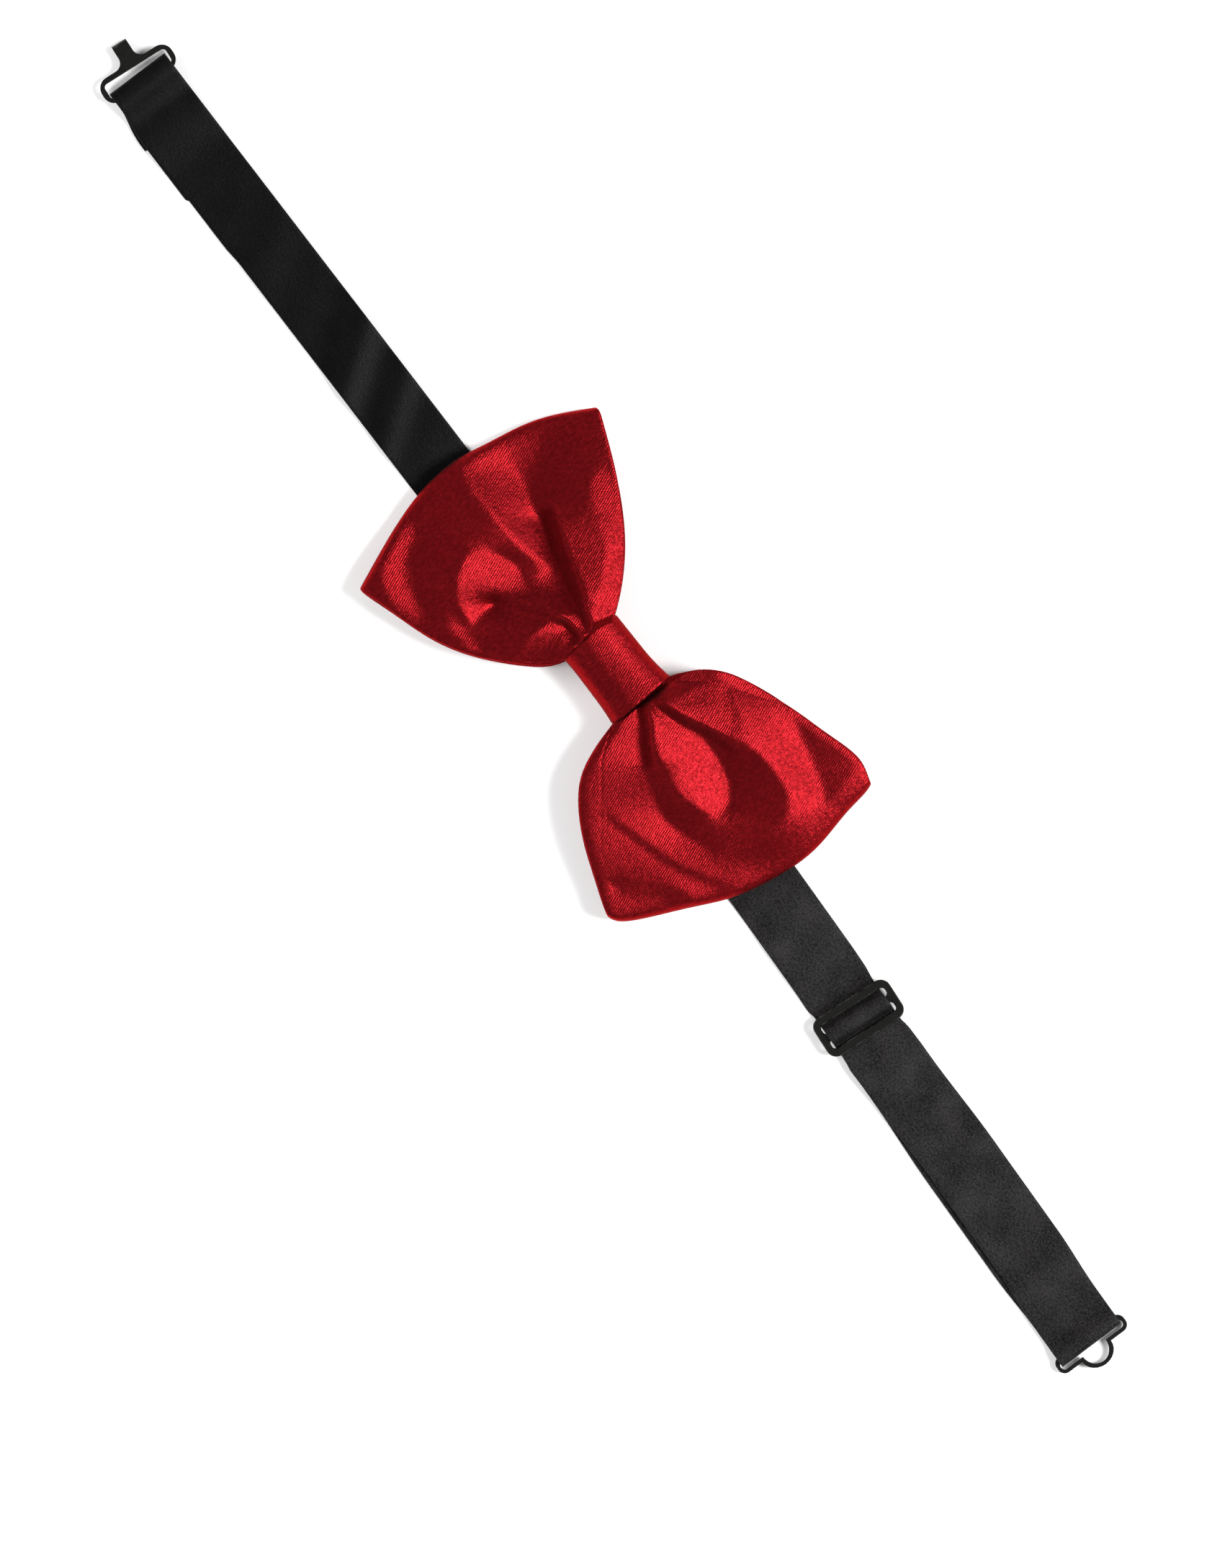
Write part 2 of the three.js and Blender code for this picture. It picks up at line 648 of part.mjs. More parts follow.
// The hook's plate with its slot, as seen from the front. X runs from the bar, at 0, out to the tongue.
function hookOutline() {
  const inner = -barWidth / 2;
  const outer = inner + plateLength;
  const half = plateWidth / 2;
  const r = plateLength / 2 - 0.4;
  const root = tongueWidth / 2 + tongueFillet;
  const shape = new THREE.Shape();
  shape.moveTo(inner + r, -half);
  shape.lineTo(outer - r, -half);
  shape.absarc(outer - r, -half + r, r, -Math.PI / 2, 0, false);
  shape.lineTo(outer, -root);
  shape.absarc(outer + tongueFillet, -root, tongueFillet, Math.PI, Math.PI / 2, true);
  shape.lineTo(outer + tongueReach - hookBend, -tongueWidth / 2);
  shape.lineTo(outer + tongueReach - hookBend, tongueWidth / 2);
  shape.lineTo(outer + tongueFillet, tongueWidth / 2);
  shape.absarc(outer + tongueFillet, root, tongueFillet, -Math.PI / 2, Math.PI, true);
  shape.lineTo(outer, half - r);
  shape.absarc(outer - r, half - r, r, 0, Math.PI / 2, false);
  shape.lineTo(inner + r, half);
  shape.absarc(inner + r, half - r, r, Math.PI / 2, Math.PI, false);
  shape.lineTo(inner, -half + r);
  shape.absarc(inner + r, -half + r, r, Math.PI, Math.PI * 1.5, false);
  const slot = new THREE.Path();
  const slotLength = plateLength - plateRim - barWidth;
  roundRect(slot, barWidth / 2 + slotLength / 2, 0, slotLength, plateWidth - 2 * plateRim, slotCorner);
  shape.holes.push(slot);
  return shape;
}

// The tongue's bend and the leg under it, which start inside the plate's own tongue.
function hookLeg() {
  const centre = -barWidth / 2 + plateLength + tongueReach - hookBend;
  const radius = (hookThroat + plateThickness) / 2;
  const pairs = [[centre - 0.6, 0]];
  for (let i = 0; i <= 8; i += 1) {
    const a = Math.PI / 2 - (i * Math.PI) / 8;
    pairs.push([centre + radius * Math.cos(a), -radius + radius * Math.sin(a)]);
  }
  pairs.push([centre - hookLegLength, -2 * radius]);
  return ribbon(pairs.map(([x, z]) => ({ x, z, y: 0, width: tongueWidth })), plateThickness);
}

// One closed solid made of two that overlap.
function join(a, b) {
  const solid = (geometry) => {
    const bare = geometry.clone();
    bare.deleteAttribute('normal');
    bare.deleteAttribute('uv');
    const merged = mergeVertices(bare, 1e-5);
    return new wasm.Manifold(new wasm.Mesh({
      numProp: 3,
      vertProperties: new Float32Array(merged.attributes.position.array),
      triVerts: new Uint32Array(merged.index.array),
    }));
  };
  const mesh = solid(a).add(solid(b)).getMesh();
  const geometry = new THREE.BufferGeometry();
  geometry.setAttribute('position', new THREE.BufferAttribute(new Float32Array(mesh.vertProperties), 3));
  geometry.setIndex([...mesh.triVerts]);
  return geometry;
}

function hookPlate() {
  const mesh = named('hook_plate', join(plate(hookOutline(), plateThickness, 0), hookLeg()), metal());
  mesh.position.set(hookBarX, strapMiddle(hookBarX), hookPlateZ);
  mesh.rotation.z = Math.PI + hookTilt;
  return mesh;
}

// The eye: the slot for the strap opens into a round loop, which the hook's tongue goes through.
function eyeOutline() {
  const inner = -barWidth / 2;
  const outer = inner + eyePlateLength;
  const half = eyePlateWidth / 2;
  const r = eyePlateLength / 2 - 0.3;
  const loopHalf = eyeLoopWidth / 2;
  const shape = new THREE.Shape();
  shape.moveTo(inner + r, -half);
  shape.lineTo(outer - r, -half);
  shape.absarc(outer - r, -half + r, r, -Math.PI / 2, 0, false);
  shape.lineTo(outer, -loopHalf);
  shape.absellipse(outer, 0, eyeLoopReach, loopHalf, -Math.PI / 2, Math.PI / 2, false, 0);
  shape.lineTo(outer, half - r);
  shape.absarc(outer - r, half - r, r, 0, Math.PI / 2, false);
  shape.lineTo(inner + r, half);
  shape.absarc(inner + r, half - r, r, Math.PI / 2, Math.PI, false);
  shape.lineTo(inner, -half + r);
  shape.absarc(inner + r, -half + r, r, Math.PI, Math.PI * 1.5, false);
  const left = barWidth / 2;
  const right = outer - eyeRim;
  const end = half - eyeRim;
  const bend = Math.min(slotCorner, (right - left) / 2);
  const hole = new THREE.Path();
  hole.moveTo(left, -end + bend);
  hole.absarc(left + bend, -end + bend, bend, Math.PI, Math.PI * 1.5, false);
  hole.absarc(right - bend, -end + bend, bend, -Math.PI / 2, 0, false);
  hole.lineTo(right, -loopHalf + eyeRim);
  hole.absellipse(right, 0, eyeLoopReach, loopHalf - eyeRim, -Math.PI / 2, Math.PI / 2, false, 0);
  hole.lineTo(right, end - bend);
  hole.absarc(right - bend, end - bend, bend, 0, Math.PI / 2, false);
  hole.absarc(left + bend, end - bend, bend, Math.PI / 2, Math.PI, false);
  hole.lineTo(left, -end + bend);
  shape.holes.push(hole);
  return shape;
}

function eyePlate() {
  const mesh = named('eye_plate', plate(eyeOutline(), eyeThickness, 0), metal());
  mesh.position.set(eyeBarX, strapMiddle(eyeBarX), eyePlateZ);
  return mesh;
}

// The slider's frame: a round-cornered rectangle with a window on each side of its middle bar.
function sliderFrame() {
  const shape = roundRect(new THREE.Shape(), 0, 0, sliderLength, sliderWidth, sliderCorner);
  const high = sliderWidth - 2 * sliderEndBar;
  for (const side of [-1, 1]) {
    const x = side * (sliderMiddleBar / 2 + windowLength / 2);
    shape.holes.push(roundRect(new THREE.Path(), x, 0, windowLength, high, slotCorner));
  }
  const mesh = named('slider_frame', plate(shape, sliderThickness, 0.2), metal());
  mesh.position.set(sliderX, strapMiddle(sliderX), sliderZ);
  mesh.rotation.z = sliderTilt;
  return mesh;
}

// ---------------------------------------------------------------- the assembly

const bow = new THREE.Group();
bow.add(bowSatin(), bowLining(), waistThread(), knotStrip(), knotThread());

const neckband = new THREE.Group();
neckband.add(bandRibbon(), hookStitches(), sliderRun(), sliderBend(), sliderLoop(), sliderStitches());
neckband.add(frontRun(), backRun(), eyeFold());

const fittings = new THREE.Group();
fittings.add(hookPlate(), sliderFrame(), eyePlate());

const bowTie = new THREE.Group();
bowTie.add(bow, neckband, fittings);

export default bowTie;
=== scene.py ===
"""A ready-tied satin bow on an adjustable neckband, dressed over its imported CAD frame.

Every size below is in millimetres unless it says otherwise; meshes are written in metres.
+Z is the front of the bow, and +X runs along the neckband from the hook to the eye.
"""

import math

import bpy
import numpy as np
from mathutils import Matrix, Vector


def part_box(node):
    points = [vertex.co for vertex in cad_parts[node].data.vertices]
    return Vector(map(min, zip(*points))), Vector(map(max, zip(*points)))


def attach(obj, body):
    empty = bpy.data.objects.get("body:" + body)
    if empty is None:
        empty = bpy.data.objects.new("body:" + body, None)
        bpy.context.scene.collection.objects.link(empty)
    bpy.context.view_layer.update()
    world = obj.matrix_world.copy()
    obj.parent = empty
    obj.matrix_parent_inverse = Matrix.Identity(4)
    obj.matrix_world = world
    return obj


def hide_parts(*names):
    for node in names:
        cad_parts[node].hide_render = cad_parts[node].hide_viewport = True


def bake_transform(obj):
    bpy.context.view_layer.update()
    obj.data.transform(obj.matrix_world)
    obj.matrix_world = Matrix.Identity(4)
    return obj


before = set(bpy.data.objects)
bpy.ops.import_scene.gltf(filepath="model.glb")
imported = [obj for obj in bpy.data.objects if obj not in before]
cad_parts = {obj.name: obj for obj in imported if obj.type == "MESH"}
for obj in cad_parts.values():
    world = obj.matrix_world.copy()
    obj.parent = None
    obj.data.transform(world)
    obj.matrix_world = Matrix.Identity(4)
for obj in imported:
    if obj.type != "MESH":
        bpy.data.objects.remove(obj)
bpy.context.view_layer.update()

bl_info = {
    "name": "Satin bow tie",
    "version": (1, 0, 0),
    "blender": (4, 5, 0),
    "location": "3D View > Sidebar > Bow tie",
    "description": "Dresses the bow tie's frame with satin, ribbon, thread and blackened metal",
    "category": "Object",
}

MM = 0.001


def node_low(node):
    """The lowest corner of a CAD node in millimetres."""
    return np.array(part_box(node)[0]) / MM


def node_high(node):
    """The highest corner of a CAD node in millimetres."""
    return np.array(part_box(node)[1]) / MM


# ---------------------------------------------------------------- sizes and colours a user may change


def length_value(name, description, default, low, high):
    """A length that a user may change, from numbers in millimetres."""
    return bpy.props.FloatProperty(
        name=name, description=description, default=default * MM, min=low * MM, max=high * MM,
        subtype="DISTANCE", unit="LENGTH",
    )


def colour_value(name, description, default):
    """A colour that a user may change."""
    return bpy.props.FloatVectorProperty(
        name=name, description=description, default=default, size=3, min=0.0, max=1.0, subtype="COLOR",
    )


class BowTieSizes(bpy.types.PropertyGroup):
    satin_thickness: length_value("Satin thickness", "Of the lined satin tube of the bow", 1.1, 0.9, 1.3)
    fold_depth: bpy.props.FloatProperty(
        name="Fold depth",
        description="How strongly the folds of the wings stand out, as a share",
        default=1.0, min=0.0, max=1.5, subtype="FACTOR",
    )
    puff: length_value("Puff", "How far the front of each wing swells above its edges", 5.0, 2.0, 8.0)
    ribbon_thickness: length_value(
        "Ribbon thickness", "Of the neckband's ribbon",
        node_high("band_slider_run")[2] - node_low("band_slider_run")[2], 0.3, 0.55,
    )
    edge_round: length_value(
        "Edge rounding", "Radius of the rounded edges of the metal fittings", 0.13, 0.02, 0.3,
    )


class BowTieColours(bpy.types.PropertyGroup):
    satin: colour_value("Satin", "Colour of the satin in full light", (0.25, 0.0078, 0.0112))
    lining: colour_value("Lining", "Colour of the stiff lining in the bow", (0.72, 0.69, 0.63))
    ribbon: colour_value("Ribbon", "Colour of the neckband", (0.0055, 0.0051, 0.0053))
    metal: colour_value("Metal", "Colour of the blackened fittings", (0.0045, 0.0045, 0.004))
    floor: colour_value("Floor", "Colour of the table that the bow tie lies on", (0.96, 0.96, 0.96))


def sizes():
    """The sizes in use."""
    return bpy.context.scene.bow_tie_sizes


def colours():
    """The colours in use."""
    return bpy.context.scene.bow_tie_colours


# ---------------------------------------------------------------- curves and profiles


def ease(low, high, x):
    """0 below low, 1 above high, and a smooth 3t^2 - 2t^3 step between."""
    t = np.clip((np.asarray(x, float) - low) / (high - low), 0, 1)
    return t * t * (3 - 2 * t)


def mix(a, b, share):
    """A straight blend: a at share 0, b at share 1."""
    return a + (b - a) * share


def unit(v):
    """Vectors along the last axis, scaled to length 1."""
    return v / np.maximum(np.linalg.norm(v, axis=-1, keepdims=True), 1e-12)


def curve_through(points, count):
    """count points, evenly spaced, on the natural cubic spline through the given points, whose knots are
    spaced by the square root of the distance between neighbours so that it doesn't overshoot."""
    p = np.asarray(points, float)
    n = len(p)
    t = np.concatenate([[0], np.cumsum(np.sqrt(np.linalg.norm(np.diff(p, axis=0), axis=1)) + 1e-9)])
    h = np.diff(t)
    a = np.zeros((n, n))
    b = np.zeros_like(p)
    a[0, 0] = a[-1, -1] = 1
    inner = np.arange(1, n - 1)
    a[inner, inner - 1] = h[:-1]
    a[inner, inner] = 2 * (h[:-1] + h[1:])
    a[inner, inner + 1] = h[1:]
    slope = np.diff(p, axis=0) / h[:, None]
    b[inner] = 6 * np.diff(slope, axis=0)
    m = np.linalg.solve(a, b)

    def at(x):
        k = np.clip(np.searchsorted(t, x, side="right") - 1, 0, n - 2)
        u, w, s = (x - t[k])[:, None], (t[k + 1] - x)[:, None], h[k][:, None]
        return (
            (m[k] * w**3 + m[k + 1] * u**3) / (6 * s)
            + (p[k] / s - m[k] * s / 6) * w
            + (p[k + 1] / s - m[k + 1] * s / 6) * u
        )

    dense = at(np.linspace(t[0], t[-1], 24 * n))
    run = np.concatenate([[0], np.cumsum(np.linalg.norm(np.diff(dense, axis=0), axis=1))])
    goal = np.linspace(0, run[-1], count)
    return np.stack([np.interp(goal, run, dense[:, i]) for i in range(p.shape[1])], axis=1)


def along(points):
    """Distance run along a line of points."""
    return np.concatenate([[0], np.cumsum(np.linalg.norm(np.diff(points, axis=0), axis=1))])


def blurred(field, cells):
    """A field smoothed along its first two axes with a running mean, cells to each side."""
    for axis in (0, 1):
        pad = [(0, 0)] * field.ndim
        pad[axis] = (cells + 1, cells)
        total = np.cumsum(np.pad(field, pad, mode="edge"), axis=axis)
        size = field.shape[axis]
        high = np.take(total, np.arange(2 * cells + 1, size + 2 * cells + 1), axis=axis)
        low = np.take(total, np.arange(0, size), axis=axis)
        field = (high - low) / (2 * cells + 1)
    return field


def grain(points, step, seed):
    """Smooth repeatable unevenness from -1 to 1: three sine waves in mixed directions, about step long."""
    rng = np.random.default_rng(seed)
    total = 0
    for _ in range(3):
        direction = unit(rng.normal(size=3)) * 2 * np.pi / (step * rng.uniform(0.8, 1.3))
        total = total + np.sin(points @ direction + rng.uniform(0, 6.28))
    return total / 3


# ---------------------------------------------------------------- meshes


def fill_mesh(mesh, points, faces, uv):
    """Writes points (millimetres), four-cornered faces and each face corner's UV into a mesh."""
    faces = np.asarray(faces, np.int32)
    mesh.vertices.add(len(points))
    mesh.vertices.foreach_set("co", (np.asarray(points, float) * MM).astype(np.float32).ravel())
    mesh.loops.add(faces.size)
    mesh.loops.foreach_set("vertex_index", faces.ravel())
    mesh.polygons.add(len(faces))
    mesh.polygons.foreach_set("loop_start", np.arange(0, faces.size, 4, dtype=np.int32))
    mesh.polygons.foreach_set("loop_total", np.full(len(faces), 4, np.int32))
    mesh.polygons.foreach_set("use_smooth", np.ones(len(faces), bool))
    mesh.update(calc_edges=True)
    layer = mesh.uv_layers.new(name="cloth")
    layer.data.foreach_set("uv", np.asarray(uv, np.float32).ravel())
    mesh.validate()
    mesh.update()


def weave_grid(rows, columns, close_rows=False, close_columns=False):
    """Corner indices of a grid's faces, twice: with the last row or column joined to the first, for the
    points, and without, for the UV map."""
    r = np.arange(rows if close_rows else rows - 1)
    c = np.arange(columns if close_columns else columns - 1)
    rr, cc = np.meshgrid(r, c, indexing="ij")
    corner_r = np.stack([rr, rr + 1, rr + 1, rr], -1).reshape(-1, 4)
    corner_c = np.stack([cc, cc, cc + 1, cc + 1], -1).reshape(-1, 4)
    flat = (corner_r % rows) * columns + corner_c % columns
    return flat, corner_r, corner_c


def placed(name, data):
    """An object in the scene for a mesh, a lamp or a camera."""
    made = bpy.data.objects.new(name, data)
    bpy.context.scene.collection.objects.link(made)
    return made


def new_piece(name, points, faces, uv, material):
    """A shaded piece at the origin with its place in its mesh."""
    mesh = bpy.data.meshes.new(name)
    fill_mesh(mesh, points, faces, uv)
    mesh.materials.append(material)
    piece = placed(name, mesh)
    return piece


def cloth_strip(name, surface, thickness, material, hang=0.5, calm=0, closed=False):
    """A closed strip of cloth. surface is rows along the strip by columns across it; the cloth's face lies
    hang of the thickness above it along the surface's normal and its back the rest below. Both long edges
    are rounded by half a circle, and the two ends are closed by a strip between face and back."""
    rows, columns = surface.shape[:2]
    run = np.gradient(surface, axis=0)
    if closed:
        run = np.roll(surface, -1, 0) - np.roll(surface, 1, 0)
    normal = unit(np.cross(run, np.gradient(surface, axis=1)))
    if calm:
        normal = unit(blurred(normal, calm))
    face = surface + normal * thickness * hang
    back = surface - normal * thickness * (1 - hang)
    middle = (face + back) / 2
    turns = np.array([0.15, 0.38, 0.62, 0.85]) * np.pi
    rims = []
    for edge, step in ((-1, 1), (0, -1)):
        outward = unit(surface[:, edge] - surface[:, edge - step])
        up = (face[:, edge] - back[:, edge]) / 2
        rim = [
            middle[:, edge] + up * math.cos(t) + outward * thickness / 2 * math.sin(t) for t in turns
        ]
        rims.append(np.stack(rim, 1))
    ring = np.concatenate([face, rims[0], back[:, ::-1], rims[1][:, ::-1]], 1)
    count = ring.shape[1]
    flat, corner_r, corner_c = weave_grid(rows, count, close_rows=closed, close_columns=True)
    centre = surface[:, columns // 2]
    length = along(np.concatenate([centre, centre[:1]]) if closed else centre)
    widest = np.argmax(np.linalg.norm(surface[:, -1] - surface[:, 0], axis=1))
    across = along(surface[widest]) - along(surface[widest])[-1] / 2
    half = across[-1]
    rim_v = half + thickness * np.array([0.25, 0.6, 0.95, 1.3])
    v = np.concatenate([across, rim_v, across[::-1], -rim_v, across[:1]])
    uv = np.stack([length[corner_r], v[corner_c]], -1).reshape(-1, 2)
    faces = flat
    if not closed:
        k = np.arange(columns - 1)
        last = 2 * columns + 3
        between = np.stack([k, k + 1, last - k - 1, last - k], -1)
        c = columns
        round_end = [[c - 1, c, c + 3, c + 4], [c, c + 1, c + 2, c + 3]]
        round_start = [[last + 4, 0, last, last + 1], [last + 3, last + 4, last + 1, last + 2]]
        ends = np.concatenate([between, round_end, round_start])
        faces = np.concatenate([flat, ends, ends[:, ::-1] + (rows - 1) * count])
        cap_uv = np.stack([np.zeros(ends.shape), v[ends]], -1)
        uv = np.concatenate([uv, cap_uv.reshape(-1, 2), cap_uv[:, ::-1].reshape(-1, 2)])
    return new_piece(name, ring.reshape(-1, 3), faces, uv, material)


def strand(name, points, diameter, material, count, sides=10, twist=0.0):
    """A thread: a round section carried along the spline through the points. Its section swells a little
    twice round, and that swelling winds along it by twist turns a millimetre, as two plies do."""
    path = curve_through(points, count)
    forward = unit(np.gradient(path, axis=0))
    side = unit(np.cross(forward, np.array([0.13, 0.2, 1.0])))
    up = np.cross(side, forward)
    run = along(path)
    angle = np.linspace(0, 2 * np.pi, sides, endpoint=False)
    swell = 1 + 0.12 * np.cos(2 * (angle[None] - 2 * np.pi * twist * run[:, None]))
    radius = diameter / 2 * swell / 1.12
    tip = np.minimum(run, run[-1] - run)
    radius = radius * np.sqrt(np.clip(1 - np.clip(1 - tip / (diameter / 2), 0, 1) ** 2, 0.002, 1))[:, None]
    ring = (
        path[:, None]
        + side[:, None] * (radius * np.cos(angle))[..., None]
        + up[:, None] * (radius * np.sin(angle))[..., None]
    )
    flat, corner_r, corner_c = weave_grid(count, sides, close_columns=True)
    uv = np.stack([run[corner_r], corner_c / sides], -1).reshape(-1, 2)
    half = sides // 2
    k = np.arange(half - 1)
    cap = np.stack([k, k + 1, sides - 2 - k, sides - 1 - k], -1)
    caps = np.concatenate([cap, cap[:, ::-1] + (count - 1) * sides])
    uv = np.concatenate([uv, np.zeros((caps.size, 2))])
    return new_piece(name, ring.reshape(-1, 3), np.concatenate([flat, caps]), uv, material)


# ---------------------------------------------------------------- shader nodes


class Reading:
    """A socket whose value changes over a surface, with arithmetic that adds its Math nodes."""

    def __init__(self, finish, socket):
        self.finish = finish
        self.socket = socket

    def maths(self, operation, other=0.0, swap=False, clamp=False):
        pair = (other, self) if swap else (self, other)
        settings = {"operation": operation, "use_clamp": clamp}
        return self.finish.node("ShaderNodeMath", settings, {0: pair[0], 1: pair[1]})

    def wave(self):
        """A sine from 0 to 1."""
        return self.maths("SINE") * 0.5 + 0.5

    def between(self, low, high):
        """0 below low, 1 above high, straight between."""
        return ((self - low) / (high - low)).maths("ADD", 0.0, clamp=True)


def arithmetic(operation, swap):
    """One of Reading's operators: a Math operation, with the reading as its second value if swap is set."""
    return lambda self, other: self.maths(operation, other, swap)


for sign, operation in (("add", "ADD"), ("sub", "SUBTRACT"), ("mul", "MULTIPLY"), ("truediv", "DIVIDE")):
    setattr(Reading, f"__{sign}__", arithmetic(operation, False))
    setattr(Reading, f"__r{sign}__", arithmetic(operation, True))


class Finish:
    """A material for one of the bow tie's surfaces, built on one Principled shader."""

    def __init__(self, name, **fixed):
        self.material = bpy.data.materials.new(name)
        self.material.use_nodes = True
        self.tree = self.material.node_tree
        self.tree.nodes.clear()
        self.output = self.tree.nodes.new("ShaderNodeOutputMaterial")
        self.shader = self.tree.nodes.new("ShaderNodeBsdfPrincipled")
        self.tree.links.new(self.shader.outputs[0], self.output.inputs["Surface"])
        for label, value in fixed.items():
            self.shader.inputs[label.replace("_", " ")].default_value = value

    def node(self, kind, settings=None, sockets=None, out=0):
        """Adds a node of a kind: its settings first, then the values or links of its sockets."""
        made = self.tree.nodes.new(kind)
        for label, value in (settings or {}).items():
            setattr(made, label, value)
        for label, value in (sockets or {}).items():
            self.feed(made.inputs[label], value)
        return Reading(self, made.outputs[out])

    def feed(self, socket, value):
        """Links a reading to a socket, or sets the socket to a plain value."""
        if isinstance(value, Reading):
            self.tree.links.new(value.socket, socket)
        else:
            socket.default_value = value

    def drive(self, label, reading):
        """Lets a reading drive one of the shader's own sockets."""
        self.feed(self.shader.inputs[label], reading)

    def place(self, scale=(1.0, 1.0, 1.0), turn=(0.0, 0.0, 0.0)):
        """Object coordinates in millimetres, scaled and turned."""
        here = self.node("ShaderNodeTexCoord", None, None, "Object")
        size = tuple(s / MM for s in scale)
        return self.node(
            "ShaderNodeMapping", {"vector_type": "POINT"},
            {"Vector": here, "Scale": size, "Rotation": turn},
        )

    def cloth_place(self, scale=(1.0, 1.0, 1.0)):
        """The piece's own UV map, in millimetres along and across the cloth."""
        here = self.node("ShaderNodeUVMap", {"uv_map": "cloth"})
        return self.node("ShaderNodeMapping", None, {"Vector": here, "Scale": scale})

    def noise(self, where, scale=1.0, detail=2.0, roughness=0.5):
        """Soft noise around 0.5."""
        return self.node(
            "ShaderNodeTexNoise", {"noise_dimensions": "3D"},
            {"Vector": where, "Scale": scale, "Detail": detail, "Roughness": roughness}, "Fac",
        )

    def split(self, where):
        """The three parts of a vector."""
        made = self.tree.nodes.new("ShaderNodeSeparateXYZ")
        self.feed(made.inputs[0], where)
        return [Reading(self, socket) for socket in made.outputs]

    def blend_colours(self, share, first, second):
        """Two colours mixed by a share."""
        made = self.tree.nodes.new("ShaderNodeMix")
        made.data_type = "RGBA"
        self.feed(made.inputs[0], share)
        for socket, colour in ((made.inputs[6], first), (made.inputs[7], second)):
            self.feed(socket, colour if isinstance(colour, Reading) else (*colour, 1.0))
        return Reading(self, made.outputs[2])

    def bump(self, height, strength, distance):
        """A height in the range 0 to 1 becomes a bump of that many millimetres on the shader's normal."""
        self.drive("Normal", self.node(
            "ShaderNodeBump", None,
            {"Height": height, "Strength": strength, "Distance": distance * MM}, "Normal",
        ))


def shade(colour, factor):
    """A colour made darker or lighter by a factor."""
    return tuple(min(1.0, c * factor) for c in colour)


TWILL_TURN = (0, 0, math.radians(-23))


def satin_finish(name, colour):
    """Red satin: long glossy floats in a fine diagonal twill, with slubs that break up the sheen."""
    f = Finish(
        name, Sheen_Weight=0.02, Sheen_Roughness=0.4, Specular_IOR_Level=0.15, IOR=1.45,
        Specular_Tint=(0.8, 0.1, 0.12, 1.0),
    )
    across, up, _ = f.split(f.place(turn=TWILL_TURN))
    drift = f.noise(f.place(), 0.9, 2)
    twill = ((across + drift * 0.4) * (2 * math.pi / 0.5)).wave()
    yarn = ((up + drift * 0.3) * (2 * math.pi / 0.34)).wave()
    fleck = f.noise(f.place((1.5, 0.75, 1), TWILL_TURN), 1.1, 3, 0.75)
    slub = f.noise(f.place((2.2, 0.4, 1.0), TWILL_TURN), 1.0, 2)
    cloud = f.noise(f.place(), 0.05, 3)
    coarse = f.noise(f.place(), 0.9, 2, 0.6)
    tone = (cloud * 0.3 + slub * 0.3 + coarse * 0.4).between(0.3, 0.7)
    base = f.blend_colours(tone, shade(colour, 0.72), shade(colour, 1.05))
    base = f.blend_colours(fleck.between(0.42, 0.66) * 0.6, base, shade(colour, 1.6))
    f.drive("Base Color", base)
    f.drive("Roughness", 0.3 + fleck * 0.12)
    f.drive("Metallic", 0.84 + slub * 0.1)
    height = twill * 0.3 + yarn * 0.15 + fleck * 1.1 + coarse * 0.9
    f.bump(height, 0.9, 0.14)
    return f.material


def ribbon_finish(name, colour):
    """Black ribbon: close cross ribs with a soft sheen."""
    f = Finish(name, Sheen_Weight=0.0, Specular_IOR_Level=0.13, IOR=1.5)
    run, across, _ = f.split(f.cloth_place())
    where = f.cloth_place()
    drift = f.noise(where, 0.6, 2)
    rib = ((run + drift * 0.15) * (2 * math.pi / 0.42)).wave()
    warp = (across * (2 * math.pi / 0.36)).wave()
    fleck = f.noise(where, 2.1, 3, 0.75)
    cloud = f.noise(where, 0.12, 3)
    coarse = f.noise(where, 1.3, 2, 0.6)
    tone = (fleck * 0.6 + coarse * 0.15 + cloud * 0.25).between(0.42, 0.64)
    # Painted sheen: between x = -70 and 70 mm the base colour turns from the darker hook-end colours to
    # lighter, more speckled ones. This stands in for the lamp's stronger sheen towards the eye end. The
    # speckle in both sets of colours is the ribbon's own random tone.
    along_band, _, _ = f.split(f.place())
    eye_end_sheen_share = along_band.between(-70.0, 70.0)
    hook_end_colours = f.blend_colours(tone, shade(colour, 0.15), shade(colour, 0.7))
    sheen_and_speckle_colours = f.blend_colours(tone, shade(colour, 0.4), shade(colour, 5.2))
    f.drive("Base Color", f.blend_colours(eye_end_sheen_share, hook_end_colours, sheen_and_speckle_colours))
    f.drive("Roughness", 0.34 + fleck * 0.14)
    f.bump(rib * 0.35 + warp * 0.2 + fleck * 0.7 + coarse * 0.7, 0.8, 0.1)
    return f.material


def lining_finish(name, colour):
    """Pale lining: a coarse plain weave with stray fibres."""
    f = Finish(name, Sheen_Weight=0.2, Sheen_Roughness=0.6, Specular_IOR_Level=0.2)
    run, across, _ = f.split(f.cloth_place())
    weave = (run * (2 * math.pi / 0.8)).wave() * (across * (2 * math.pi / 0.8)).wave()
    fibre = f.noise(f.cloth_place((0.4, 2.0, 1.0)), 2.0, 3)
    f.drive("Base Color", f.blend_colours(fibre.between(0.3, 0.7), shade(colour, 0.85), colour))
    f.drive("Roughness", 0.8 + fibre * 0.15)
    f.bump(weave * 0.6 + fibre * 0.4, 0.6, 0.12)
    return f.material


